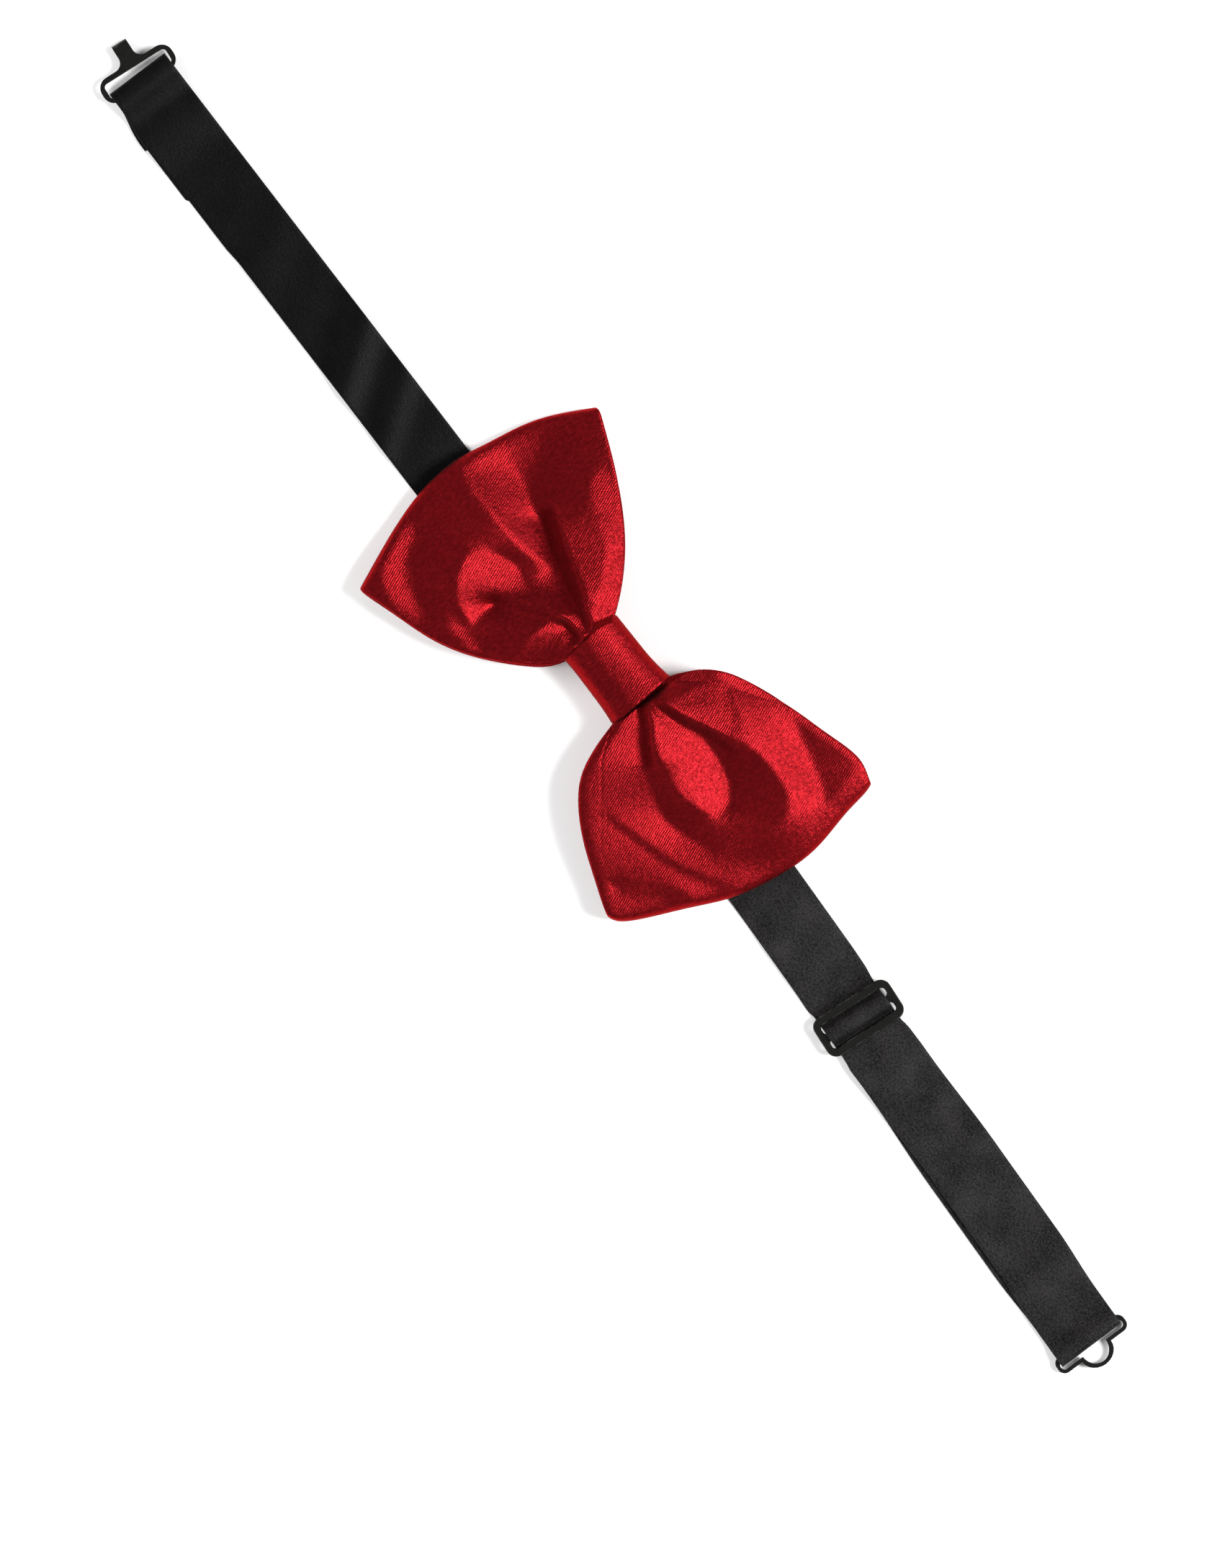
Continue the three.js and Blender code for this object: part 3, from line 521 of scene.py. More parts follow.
def thread_finish(name, colour):
    """Sewing thread: two twisted plies with fine fuzz."""
    f = Finish(name, Sheen_Weight=0.3, Sheen_Roughness=0.4, Specular_IOR_Level=0.35)
    run, around, _ = f.split(f.cloth_place())
    ply = ((run * 1.4 + around * 2.0) * (2 * math.pi)).wave()
    fuzz = f.noise(f.place(), 6.0, 3)
    f.drive("Base Color", f.blend_colours(ply * 0.6 + fuzz * 0.3, shade(colour, 0.5), shade(colour, 1.3)))
    f.drive("Roughness", 0.45 + fuzz * 0.3)
    f.bump(ply * 0.7 + fuzz * 0.4, 0.7, 0.05)
    return f.material


def metal_finish(name, colour):
    """Blackened steel: a thin uneven lacquer, rubbed bright in places along the rounded edges."""
    f = Finish(name, Specular_IOR_Level=0.25, Coat_Roughness=0.2, IOR=1.5)
    where = f.place()
    edge = f.node("ShaderNodeAttribute", {"attribute_name": "edge"}, None, "Fac")
    patch = f.noise(where, 0.55, 4, 0.65)
    speck = f.noise(where, 5.0, 3, 0.6)
    rub = (edge * 0.42 + patch * 0.9 + speck * 0.3 - 0.98).between(0.0, 0.35)
    tone = f.blend_colours(patch, shade(colour, 0.6), shade(colour, 1.9))
    f.drive("Base Color", f.blend_colours(rub, tone, (0.12, 0.117, 0.105)))
    f.drive("Metallic", 0.1 + rub * 0.3)
    f.drive("Roughness", 0.2 + speck * 0.16)
    f.drive("Coat Weight", 0.12 - rub * 0.1)
    f.bump(speck * 0.5 + patch * 0.5, 0.35, 0.05)
    return f.material


def floor_finish(name, colour):
    """Matt white table top with a barely uneven tone."""
    f = Finish(name, Specular_IOR_Level=0.2)
    cloud = f.noise(f.place(), 0.01, 3)
    f.drive("Base Color", f.blend_colours(cloud.between(0.3, 0.7), shade(colour, 0.985), shade(colour, 1.0)))
    f.drive("Roughness", 0.75 + cloud * 0.1)
    return f.material


def finish(name, maker, colour):
    """A material made once and shared by the pieces that use it."""
    found = bpy.data.materials.get(name)
    return found if found else maker(name, tuple(colour))


# ---------------------------------------------------------------- the bow's wings

LAMP_SIDE = np.array([0.6014, 0.7989])  # the side, seen from the front, that the folds' bright faces look to
WAIST_FRONT = 9.3  # height of the satin's face inside the knot
WAIST_BACK = 2.45  # height of its back inside the knot

FRONT_LOWEST = 4.9  # the front layer's face is never lower, so that it clears the back layer
FOLD_BULGE = 2.2  # how far the outer fold stands out past the front layer's last row

# Outlines of the wings: the upper edge, the outer fold and the lower edge, each from the knot outwards or
# downwards.
WINGS = {
    "left": {
        "side": -1,
        "top": [
            (0, 4.6), (-6, 4.7), (-9, 5.4), (-10.6, 7.0), (-13, 10), (-20, 17), (-30, 23.5), (-40, 28.1),
            (-51, 32.2),
        ],
        "bottom": [
            (0, -4.6), (-6, -4.8), (-8.4, -6.2), (-9.4, -9.2), (-11.5, -13.2), (-20, -21.8), (-30, -28.3),
            (-40, -31.9), (-50.3, -35.2),
        ],
        "outer": [
            (-50.3, -35.2), (-52, -31.5), (-56.5, -21), (-59.8, -10), (-60.5, 0), (-59.3, 8), (-57, 19.5),
            (-51, 32.2),
        ],
    },
    "right": {
        "side": 1,
        "top": [
            (0, 4.6), (5.5, 4.8), (7.4, 6.6), (8.4, 9.8), (12, 16.4), (18, 21.2), (30, 26.2), (40, 29.3),
            (49, 31.6), (55.2, 30.6),
        ],
        "bottom": [
            (0, -4.6), (6, -4.8), (8.2, -6.2), (9.5, -10), (12, -17), (16, -22.6), (25, -28.4), (35, -32.2),
            (43.6, -35.2),
        ],
        "outer": [
            (43.6, -35.2), (46, -33.5), (52.5, -20), (57, -9.5), (59.4, 3), (59.2, 13), (57, 22.5),
            (55.9, 28.6), (55.2, 30.6),
        ],
    },
}

# Folds of the front layers. Each is a patch or a band on the wing, the tone of its slope (-1 leans fully
# to the lamp side, 0 is level, 1 leans away and 2 or more is a steep wall), and how softly it ends.
LEVEL = {"left": 0.4, "right": -0.35}
PATCHES = [
    # left wing
    ([(-34, 36), (-60, 42), (-66, 22), (-58, 16), (-50, 12.5), (-40, 10), (-35, 13)], 1.3, 3.0),
    ([(-57, 15.5), (-64, 9), (-63, 0), (-52, -1.7), (-44, -1.2), (-37, -0.7), (-28, 1.2), (-27, 3.2),
      (-35, 5.6), (-43, 7.6), (-51, 11)], -1.3, 1.4),
    ([(-59, -3), (-46, -2.5), (-40, -5), (-42, -13), (-48, -18), (-59, -18)], 0.75, 2.5),
    ([(-29, -9), (-20, -6), (-17.5, -9), (-17.5, -15), (-18, -20), (-25, -23), (-29, -20)], 0.8, 1.5),
    ([(-42, -10.5), (-39, -6.5), (-33, -3.7), (-23, -5.6), (-23.5, -6.8), (-27.6, -9), (-29.3, -13),
      (-28.3, -19.5), (-34, -19.8), (-39, -16)], -1.45, 1.1),
    ([(-29, 0.5), (-19, 0.5), (-20, -3.2), (-28, -4)], -0.35, 1.2),
    ([(-15, 7), (-11, 7), (-12, 2)], -0.9, 0.5),
    # right wing
    ([(27, 12.5), (35, 14.5), (45, 15.2), (50, 12.5), (53, 7), (51.5, 2), (46, -7), (40, -10), (33, -11.5),
      (20, -7), (15, -4), (25, 0), (24, 8)], 1.35, 1.5),
    ([(8, 1), (15, 2), (20, 4.5), (25, 6.5), (31, 6.5), (36, 5), (39.5, 1), (38, -2.5), (33, -5.6),
      (25, -5.5), (20, -3.5), (15, -1)], -0.6, 0.9),
    ([(33, 26), (50, 31.5), (53, 19.5), (45, 21.5), (38, 23.5)], 0.85, 1.5),
    ([(49, -3), (57, -3), (53, -13), (47, -11)], -0.5, 1.6),
    ([(14, 10), (18, 16), (24, 15), (22, 9.5), (17, 8)], -0.4, 1.2),
]
BANDS = [
    # left wing
    ([(-36, 22.5), (-28, 19.5)], 3.0, -0.35, 2.0),
    ([(-26, 19.6), (-20, 14.8), (-15, 9.4), (-13.2, 6)], 2.1, -1.0, 1.2),
    ([(-38, 9), (-50, 12.2)], 1.6, 1.0, 2.0),
    ([(-9, 0.5), (-15, 1.9), (-20, 3.2)], 0.9, 6.5, 0.6),
    ([(-19, 3.2), (-25, 4.6), (-31, 6.4), (-37, 8.8)], 1.7, 5.5, 0.9),
    ([(-9, -2.2), (-15, -2.7), (-18, -3.7), (-21, -5.9)], 0.9, 6.0, 0.6),
    ([(-20.5, -5.5), (-25, -9), (-28, -12)], 1.2, 4.0, 1.0),
    ([(-16, -4.5), (-16.5, -8), (-16, -12), (-14.5, -15.5)], 1.3, -0.95, 0.7),
    ([(-14.8, -4.4), (-12.6, -4.0)], 1.0, -0.95, 0.6),
    ([(-11, -5), (-10.5, -5)], 0.8, 1.2, 0.5),
    ([(-12, -7.2), (-12.2, -10)], 1.2, 0.8, 0.8),
    ([(-55, -20), (-51, -25), (-46, -28), (-38, -30)], 3.0, -0.9, 1.8),
    ([(-56, 10), (-52.5, 4)], 1.8, -1.1, 1.5),
    ([(-40, -19.5), (-30, -23.4), (-24, -22.4)], 1.2, -0.25, 1.2),
    # right wing
    ([(19, 19), (30, 20), (40, 19.5), (48, 17.5), (53.5, 12), (55, 4), (54, -3)], 3.2, -0.85, 2.5),
    ([(26, 0.2), (36, 0)], 3.2, -1.1, 2.0),
    ([(8, 2.2), (13, 3.5), (18, 5.2), (22, 7.5), (26, 9.3), (31, 10.2)], 0.9, 3.6, 0.7),
    ([(8, 0), (11, -0.6), (14, -2.0), (17, -4.4), (21, -6.6)], 1.1, 5.5, 0.6),
    ([(19, 17.5), (25, 15), (28, 13)], 0.9, 0.2, 1.0),
    ([(13.4, 6.5), (14.8, 11)], 1.1, -0.9, 0.6),
    ([(8.3, 8.4), (10, 5.5)], 0.6, -0.9, 0.4),
    ([(10, 10), (13.5, 17)], 1.0, 0.7, 0.8),
    ([(9.4, -8), (12.5, -18)], 1.4, 0.7, 1.0),
    ([(54, 20), (55, 30)], 1.2, -0.9, 0.8),
    ([(55, -9), (50, -12), (45, -15), (40, -17), (30, -20), (26, -21)], 0.6, 0.55, 1.1),
    ([(50, -19), (45, -22), (42, -26), (40, -28)], 1.8, 0.7, 1.4),
]
TONE_SLOPE = 0.36  # the slope that a tone of 1 stands for


def line_distance(x, y, line, loop=False):
    """How far each point lies from a line of straight stretches."""
    p = np.array(list(line) + ([line[0]] if loop else []), float)
    best = np.full(x.shape, 1e9)
    for a, b in zip(p[:-1], p[1:]):
        run = b - a
        t = np.clip(((x - a[0]) * run[0] + (y - a[1]) * run[1]) / (run @ run), 0, 1)
        best = np.minimum(best, np.hypot(x - a[0] - t * run[0], y - a[1] - t * run[1]))
    return best


def inside(x, y, line):
    """Whether each point is inside a closed line: it crosses the line an odd number of times to one side."""
    odd = np.zeros(x.shape, bool)
    for (x0, y0), (x1, y1) in zip(line, list(line[1:]) + [line[0]]):
        crosses = (y0 > y) != (y1 > y)
        at = x0 + (y - y0) * (x1 - x0) / (y1 - y0 + 1e-12)
        odd ^= crosses & (x < at)
    return odd


def fold_tones(x, y):
    """The tone of the slope at each point of the plan: the level of its wing, then each patch and band in
    turn laid over it, full inside and fading over its softness."""
    tone = np.where(x < 0, LEVEL["left"], LEVEL["right"])
    for line, value, soft in PATCHES:
        reach = line_distance(x, y, line, loop=True) * np.where(inside(x, y, line), -1, 1)
        tone = mix(tone, value, 1 - ease(-soft, soft, reach))
    for line, half, value, soft in BANDS:
        tone = mix(tone, value, 1 - ease(-soft, soft, line_distance(x, y, line) - half))
    return tone


def puff_height(x, y):
    """The wings without folds: from the waist down to the outer fold, plus a swell that is highest a third
    of the way out and falls off towards the two edges."""
    out = np.abs(x)
    share = np.clip(out / 60, 0, 1)
    half = np.interp(out, [0, 9, 14, 30, 50, 60], [5, 8, 15, 27, 34, 36])
    base = mix(WAIST_FRONT + 0.7, 6.2, ease(0, 1, share))
    across = np.clip(np.abs(y) / half, 0, 1)
    puff = sizes().puff / MM
    return base + puff * np.sin(np.pi * share**0.75) * (1 - 0.8 * across**2)


def folded_height():
    """The fold heights on a square grid laid along the lamp side, half a millimetre apart. They are the
    heights whose slope along the lamp side comes nearest to the tones, with as little slope across it as
    that allows: in waves of length k each, height = (slope along) times ka over (ka^2 + w kc^2 + small),
    which one Fourier transform works out for the whole grid."""
    step, count = 0.5, 320
    line = (np.arange(count) - count / 2) * step
    a, c = np.meshgrid(line, line, indexing="ij")
    x = a * LAMP_SIDE[0] - c * LAMP_SIDE[1]
    y = a * LAMP_SIDE[1] + c * LAMP_SIDE[0]
    plain = puff_height(x, y)
    slope = fold_tones(x, y) * TONE_SLOPE * sizes().fold_depth
    wing = ease(7.5, 11, np.abs(x)) * (1 - ease(56, 62, np.abs(x)))
    half = np.interp(np.abs(x), [0, 9, 14, 30, 50, 60], [8, 14, 24, 35, 42, 44])
    wing = wing * (1 - ease(0, 6, np.abs(y) - half))
    wanted = (slope - np.gradient(plain, step, axis=0)) * wing
    ka = 2 * np.pi * np.fft.fftfreq(count, step)[:, None]
    kc = 2 * np.pi * np.fft.fftfreq(count, step)[None]
    hold = (2 * np.pi / 95) ** 2  # keeps waves longer than about 95 mm low
    across_share = 0.22  # how much slope across the lamp side counts, beside slope along it
    sharp = 0.002  # keeps the shortest waves low
    wave = np.fft.fft2(wanted)
    below = ka**2 + across_share * kc**2 + hold + sharp * (ka**2 + kc**2) ** 2
    height = np.fft.ifft2(-1j * ka * wave / below).real
    return height, step, count


def read_grid(field, step, count, x, y):
    """A grid field at any points, by straight blends between the four nearest cells."""
    a = (x * LAMP_SIDE[0] + y * LAMP_SIDE[1]) / step + count / 2
    c = (-x * LAMP_SIDE[1] + y * LAMP_SIDE[0]) / step + count / 2
    a = np.clip(a, 0, count - 1.001)
    c = np.clip(c, 0, count - 1.001)
    i, j = a.astype(int), c.astype(int)
    u, w = a - i, c - j
    low = mix(field[i, j], field[i + 1, j], u)
    high = mix(field[i, j + 1], field[i + 1, j + 1], u)
    return mix(low, high, w)


def wing_plan(wing, u, v):
    """Where the point u of the way out and v across (-1 bottom, 1 top) lies in the plan: a straight blend
    between the lower and upper edge, pushed out by the outer fold's own curve with the square of u."""
    top = curve_through(wing["top"], 200)
    bottom = curve_through(wing["bottom"], 200)
    outer = curve_through(wing["outer"], 200)
    pull = np.array([wing["side"] * FOLD_BULGE, 0.0])
    line = np.linspace(0, 1, 200)
    share = (v + 1) / 2

    def read(curve, t):
        return np.stack([np.interp(t, line, curve[:, 0]), np.interp(t, line, curve[:, 1])], -1)

    corner = mix(bottom[-1], top[-1], share[..., None])
    ease_out = (u**2.2)[..., None]
    plan = mix(read(bottom, u), read(top, u), share[..., None]) + (read(outer, share) - corner) * ease_out
    narrow = (1 - 0.55 * v**6)[..., None]
    plan = plan - pull * narrow * (u**8)[..., None]
    plan[..., 1] -= 0.2 * v
    return plan


def front_face(plan, u, v, grid):
    """Height of the front layer's face over the plan, kept under the knot's strip beside the waist and
    clear of the back layer."""
    x, y = plan[..., 0], plan[..., 1]
    z = puff_height(x, y) + read_grid(*grid, x, y)
    cap = 10.2 + 2.2 * np.clip(np.abs(x) - 9.0, 0, None)
    z = cap - np.logaddexp(0, (cap - z) / 0.3) * 0.3
    z = mix(z, WAIST_FRONT, 1 - ease(6.5, 9.5, np.abs(x)))
    z = z - np.where(v < 0, 0.6, 0.1) * np.abs(v) ** 24 * ease(0.1, 0.3, u)
    return FRONT_LOWEST + np.logaddexp(0, (z - FRONT_LOWEST) / 0.4) * 0.4


def back_face(plan, u):
    """Height of the back layer's outer face: near the table, rising to the waist in the knot, with shallow
    gathers that fan out from it."""
    x, y = plan[..., 0], plan[..., 1]
    rise = mix(WAIST_BACK, 1.4 - 1.05 * (y / 34) ** 2, ease(0.06, 0.7, u))
    fan = np.arctan2(y, np.abs(x) + 4)
    gathers = (0.5 + 0.5 * np.cos(fan * 15 + 0.6)) * ease(0.13, 0.3, u) * (1 - ease(0.3, 0.85, u))
    uneven = 0.5 + 0.5 * grain(np.stack([x, y, 0 * x], -1), 24, 5)
    return rise + 1.1 * gathers + 0.25 * uneven * ease(0.2, 0.5, u)


def fold_share(back_rows, fold_rows, front_rows):
    """1 at the rows of an outer fold and beside it, easing to 0 further off."""
    row = np.arange(back_rows + fold_rows + front_rows)
    front_start = back_rows + fold_rows
    return ease(back_rows - 5, back_rows - 1, row) * (1 - ease(front_start + 1, front_start + 9, row))


def bow_surface(columns, front_rows, fold_rows, back_rows):
    """The bow's outer surface as rows along its ribbon: from its end behind the waist, out along the left
    back layer, round the left fold, over both fronts, round the right fold and back. The fold is half an
    ellipse from the front layer's edge down to the back layer's."""
    grid = folded_height()
    across = np.linspace(-1, 1, columns)

    def layer(wing, u, height):
        uu, vv = np.meshgrid(u, across, indexing="ij")
        plan = wing_plan(wing, uu, vv)
        return np.concatenate([plan, height(plan, uu, vv)[..., None]], -1)

    parts = []
    for wing in (WINGS["left"], WINGS["right"]):
        front_out = np.linspace(0.012, 1, front_rows)
        front = layer(wing, front_out, lambda plan, u, v: front_face(plan, u, v, grid))
        back_out = np.linspace(0.012, 1, back_rows)
        back = layer(wing, back_out, lambda plan, u, v: back_face(plan, u))
        top, low = front[-1], back[-1]
        turn = np.linspace(0, np.pi, fold_rows + 2)[1:-1, None, None]
        middle, half = (top + low) / 2, (top - low) / 2
        bulge = np.zeros_like(middle)
        bulge[:, 0] = wing["side"] * FOLD_BULGE * (1 - 0.55 * across**6)
        fold = middle + half * np.cos(turn) + bulge * np.sin(turn) ** 0.8
        parts.append((front, fold, back))
    (lf, lo, lb), (rf, ro, rb) = parts
    surface = np.concatenate([lb, lo[::-1], lf[::-1], rf, ro, rb[::-1]])
    share = fold_share(back_rows, fold_rows, front_rows)
    near_fold = np.concatenate([share, share[::-1]])
    for _ in range(2):
        even = (np.roll(surface, 1, 0) + surface * 2 + np.roll(surface, -1, 0)) / 4
        even = (np.roll(even, 2, 0) + even * 2 + np.roll(even, -2, 0)) / 4
        surface = mix(surface, even, near_fold[:, None, None])
    return surface


class BOWTIE_OT_bow(bpy.types.Operator):
    """Makes the bow's satin with its folded wings, and the lining inside it"""

    bl_idname = "bowtie.make_bow"
    bl_label = "Satin bow"

    def execute(self, context):
        thickness = sizes().satin_thickness / MM
        surface = bow_surface(148, 116, 13, 34)
        satin = finish("red_satin", satin_finish, colours().satin)
        bow = cloth_strip("bow_satin_folds", surface, thickness, satin, hang=0.0, calm=3)
        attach(bow, "bow")
        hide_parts("bow_satin")

        normal = unit(blurred(unit(np.cross(np.gradient(surface, axis=0), np.gradient(surface, axis=1))), 3))
        middle = (surface - normal * thickness * 0.62)[2:-2:2, 3:-3:3]
        lining = finish("bow_interlining", lining_finish, colours().lining)
        inlay = cloth_strip("bow_lining_cloth", middle, 0.25, lining, calm=1)
        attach(inlay, "bow")
        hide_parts("bow_lining")
        return {"FINISHED"}


# ---------------------------------------------------------------- the knot


def knot_surface(rows, columns):
    """The knot's strip as rows round its section by columns along its length. The section is a rounded
    oblong, |y/h|^p + |z/d|^p = 1 with a squarer back, that is slimmer in the middle and slants at both
    ends."""
    seam = 0.036
    turn = np.linspace(seam, 2 * np.pi - seam, rows) + math.radians(-90 + 27)
    side = np.linspace(-1, 1, columns)
    t, s = np.meshgrid(turn, side, indexing="ij")
    cy, sz = np.cos(t), np.sin(t)
    power = np.where(sz > 0, 2.7, 5.0)
    grow = (np.abs(cy) ** power + np.abs(sz) ** power) ** (-1 / power)
    upper = 7.45 + 0.25 * s + 0.9 * np.clip(s, 0, 1) ** 2
    lower = 7.3 + 0.35 * s**4
    half = np.where(cy > 0, upper, lower)
    y = cy * grow * half
    top = 12.3 - 0.45 * np.cos(np.pi * s / 2) * 0.8
    z = np.where(sz > 0, 5.6 + sz * grow * (top - 5.6), 5.6 + sz * grow * (5.6 - 0.4))
    left = -9.9 - 0.13 * y * ease(0.0, 0.9, sz)
    right = 8.4 - 0.07 * y * ease(0.0, 0.9, sz)
    x = mix(left, right, (s + 1) / 2)
    front = ease(0.1, 0.9, sz)
    crease = np.exp(-(((y + 3.4 + 0.25 * s) / 1.4) ** 2)) * 0.22
    pinch = np.exp(-(((y - 4.9 - 0.5 * s) / 1.2) ** 2)) * 0.12
    z = z - front * (crease + pinch)
    return np.stack([x, y, z], -1)


class BOWTIE_OT_knot(bpy.types.Operator):
    """Makes the strip wound round the bow's waist, with the threads that gather and close it"""

    bl_idname = "bowtie.make_knot"
    bl_label = "Knot"

    def execute(self, context):
        satin = finish("red_satin", satin_finish, colours().satin)
        surface = knot_surface(140, 64)
        knot = cloth_strip("knot_wrap", surface, 0.8, satin, hang=0.5, calm=1)
        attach(knot, "bow")
        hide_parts("knot_strip")
        thread = finish("red_sewing_thread", thread_finish, (0.32, 0.012, 0.018))

        low, high = node_low("waist_thread"), node_high("waist_thread")
        angle = np.linspace(0, 2 * np.pi * 3, 60)
        corner = (np.abs(np.cos(angle)) ** 9 + np.abs(np.sin(angle)) ** 9) ** (-1 / 9)
        middle = (low + high) / 2
        half = (high - low) / 2 - np.array([0.2, 0.2, 0.27])
        loops = np.stack([
            np.linspace(-0.9, 0.9, 60),
            middle[1] + half[1] * np.cos(angle) * corner,
            middle[2] + half[2] * np.sin(angle) * corner,
        ], -1)
        gather = strand("waist_gathering_thread", loops, 0.4, thread, 420, 8, 1.2)
        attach(gather, "bow")
        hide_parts("waist_thread")

        low, high = node_low("knot_thread"), node_high("knot_thread")
        stitch = np.arange(13)
        zigzag = np.stack([
            np.linspace(low[0] + 0.15, high[0] - 0.15, 13),
            (low[1] + high[1]) / 2 + np.where(stitch % 2, 0.42, -0.42),
            np.full(13, 0.3),
        ], -1)
        seam = strand("knot_seam_thread", zigzag, 0.3, thread, 260, 8, 1.6)
        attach(seam, "bow")
        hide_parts("knot_thread")
        return {"FINISHED"}


# ---------------------------------------------------------------- the neckband

SLIDER = 95.7  # where the slider's middle bar lies along the band
EYE_BAR = 185.2  # and the eye's bar
HOOK_WIDTH = 15.2  # the ribbon's width on the hook's side
EYE_WIDTH = 16.2  # and on the eye's side
SLIDER_WIDTH = 15.4  # its width in the slider
GATHERED = 9.7  # and gathered in the knot
TURN_RADIUS = 1.121  # of the ribbon's middle round the hook's and the eye's bar
SLIDER_TILT = math.radians(4.2)


def strap_middle(x):
    """The strap's middle line: level in the knot, then a smooth drop and a steady slope to each side."""
    out = np.abs(x)
    drop = np.where(x < 0, 4.2, 2.0)
    slope = np.where(x < 0, -0.009, -0.0257)
    return -drop * ease(21, 48, out) + slope * np.clip(out - 36, 0, None)


def strap_width(x):
    """Gathered in the knot, and full width past it."""
    return mix(GATHERED, np.where(x < 0, HOOK_WIDTH, EYE_WIDTH), ease(21, 36, np.abs(x)))


def strap_wave(x, y):
    """The ribbon's own unevenness off the table, only ever upwards: one soft fold beside the left wing and
    a long shallow wave elsewhere, which both run slantwise across it and fade at the knot and fittings."""
    slant = x + 0.7 * y
    fold = 1.1 * np.exp(-(((slant + 96) / 5.5) ** 2)) + 0.9 * np.exp(-(((slant + 81) / 5.0) ** 2))
    wave = 0.28 * (1 + np.sin(slant * 0.19 + 1.0)) + 0.16 * (1 + np.sin(slant * 0.43))
    left = ease(-150, -138, x) * (1 - ease(-72, -62, x))
    middle = ease(62, 68, x) * (1 - ease(78, 86, x))
    right = ease(116, 126, x) * (1 - ease(166, 176, x))
    bank_left = 0.03 * (y + 14) * ease(-152, -130, x) * (1 - ease(-66, -60, x))
    return left * (fold * 0.9 + wave * 0.4) + (middle + right) * wave * 0.6 + bank_left


def strap_surface(path, columns, width, shift=None, lean=None, waving=None):
    """A ribbon on a path of (x, z): each point of the path becomes a row across the strap, as wide as the
    ribbon there, and leaning along the strap where it follows a tilted fitting."""
    x, z = path[:, 0], path[:, 1]
    across = np.linspace(-0.5, 0.5, columns)
    y = strap_middle(x) + (0 if shift is None else shift(x))
    w = width(x)
    slant = 0 if lean is None else lean(x)[:, None] * across[None] * w[:, None]
    px = x[:, None] + slant
    py = y[:, None] + across[None] * w[:, None]
    pz = np.repeat(z[:, None], columns, 1)
    if waving is not None:
        pz = pz + strap_wave(px, py) * waving[:, None]
    return np.stack([px, py, pz], -1)


def slider_lean(x):
    """Full beside the slider's bars, and none further off."""
    return math.tan(SLIDER_TILT) * (1 - ease(5.4, 7.4, np.abs(x - SLIDER)))


def pulled_edge(x):
    """How far the ribbon's lower edge stands out near the hook: a short step, then a slow return."""
    reach = 0.5 * (1 - ease(-144.7, -143.8, x)) + 0.35 * (1 - ease(-131, -125, x))
    return reach * ease(-170, -160, x)


def slider_shift(x):
    """How far the ribbon sits towards the slider's lower end beside its bars, and not at all further off."""
    return -0.15 * (1 - ease(7, 14, np.abs(x - SLIDER)))


def hook_side_path():
    """The long ribbon from the hem behind the hook, round the hook's bar, through the knot and over the
    slider's middle bar, as (x, z) points."""
    turn = np.radians(np.linspace(-75, 75, 9))
    tip = -174.0 + 0.25 + TURN_RADIUS
    arc = [(tip - TURN_RADIUS * math.cos(t), 2.2 + TURN_RADIUS * math.sin(t)) for t in turn]
    pairs = [(-158.9, 0.6), (-162, 0.6), (-165.3, 0.6), (-168.1, 0.86), (-170.1, 1.06)] + arc
    pairs += [(-170.1, 3.32), (-168.1, 2.39), (-165.3, 1.25), (-162, 1.25), (-158.9, 1.22)]
    pairs += [(-154.9, 0.75), (-150.9, 0.27), (-146, 0.25)]
    plain = [(x, 0.25 + 1.1 * (1 - float(ease(17, 33, abs(x))))) for x in np.arange(-140, 84, 4.0)]
    hump = [(-9, 0.25), (-7, 0.35), (-4.05, 1.45), (-2.725, 1.95), (-2.075, 2.6), (-1.725, 3.45),
            (-1.125, 4.15), (0, 4.35), (1.125, 4.15), (1.725, 3.45), (2.075, 2.7), (2.725, 2.15), (4.6, 1.9)]
    return curve_through(pairs + plain + [(SLIDER + dx, z) for dx, z in hump], 900)


def eye_side_path():
    """The ribbon from under the slider out to the eye, round its bar and back, round the slider's middle
    bar to its sewn end, as (x, z) points with the side of the spread of the two layers."""
    out = [(SLIDER + 4.6, 1.9), (SLIDER + 9, 1.9), (107.5, 1.9), (109.5, 1.65), (111.5, 1.3), (113.5, 1.0)]
    out += [(116, 0.9)] + [(x, 0.9) for x in np.arange(120, 176, 6.0)]
    out += [(178.2, 0.9), (179.6, 0.9), (181.8, 1.35), (184.0, 2.3)]
    turn = np.radians(np.linspace(60, -75, 8))
    tip = 187.0 - 0.25 - TURN_RADIUS
    arc = [(tip + TURN_RADIUS * math.cos(t), 1.371 + TURN_RADIUS * math.sin(t)) for t in turn]
    home = [(183.5, 0.25), (178.2, 0.25)] + [(x, 0.25) for x in np.arange(172, 116, -6.0)]
    loop = [
        (17, 0.25), (16, 0.25), (13.5, 0.9), (11.5, 1.25), (6, 1.25), (2.3, 1.25), (1.5, 1.55), (1.2, 2.2),
        (1.2, 3.35), (0.85, 3.7), (-0.85, 3.7), (-1.2, 3.35), (-1.2, 1.5), (-0.95, 0.9), (-0.3, 0.6),
        (2.4, 0.6), (7, 0.6), (11.5, 0.6),
    ]
    pairs = out + arc + home + [(SLIDER + dx, z) for dx, z in loop]
    return curve_through(pairs, 900)


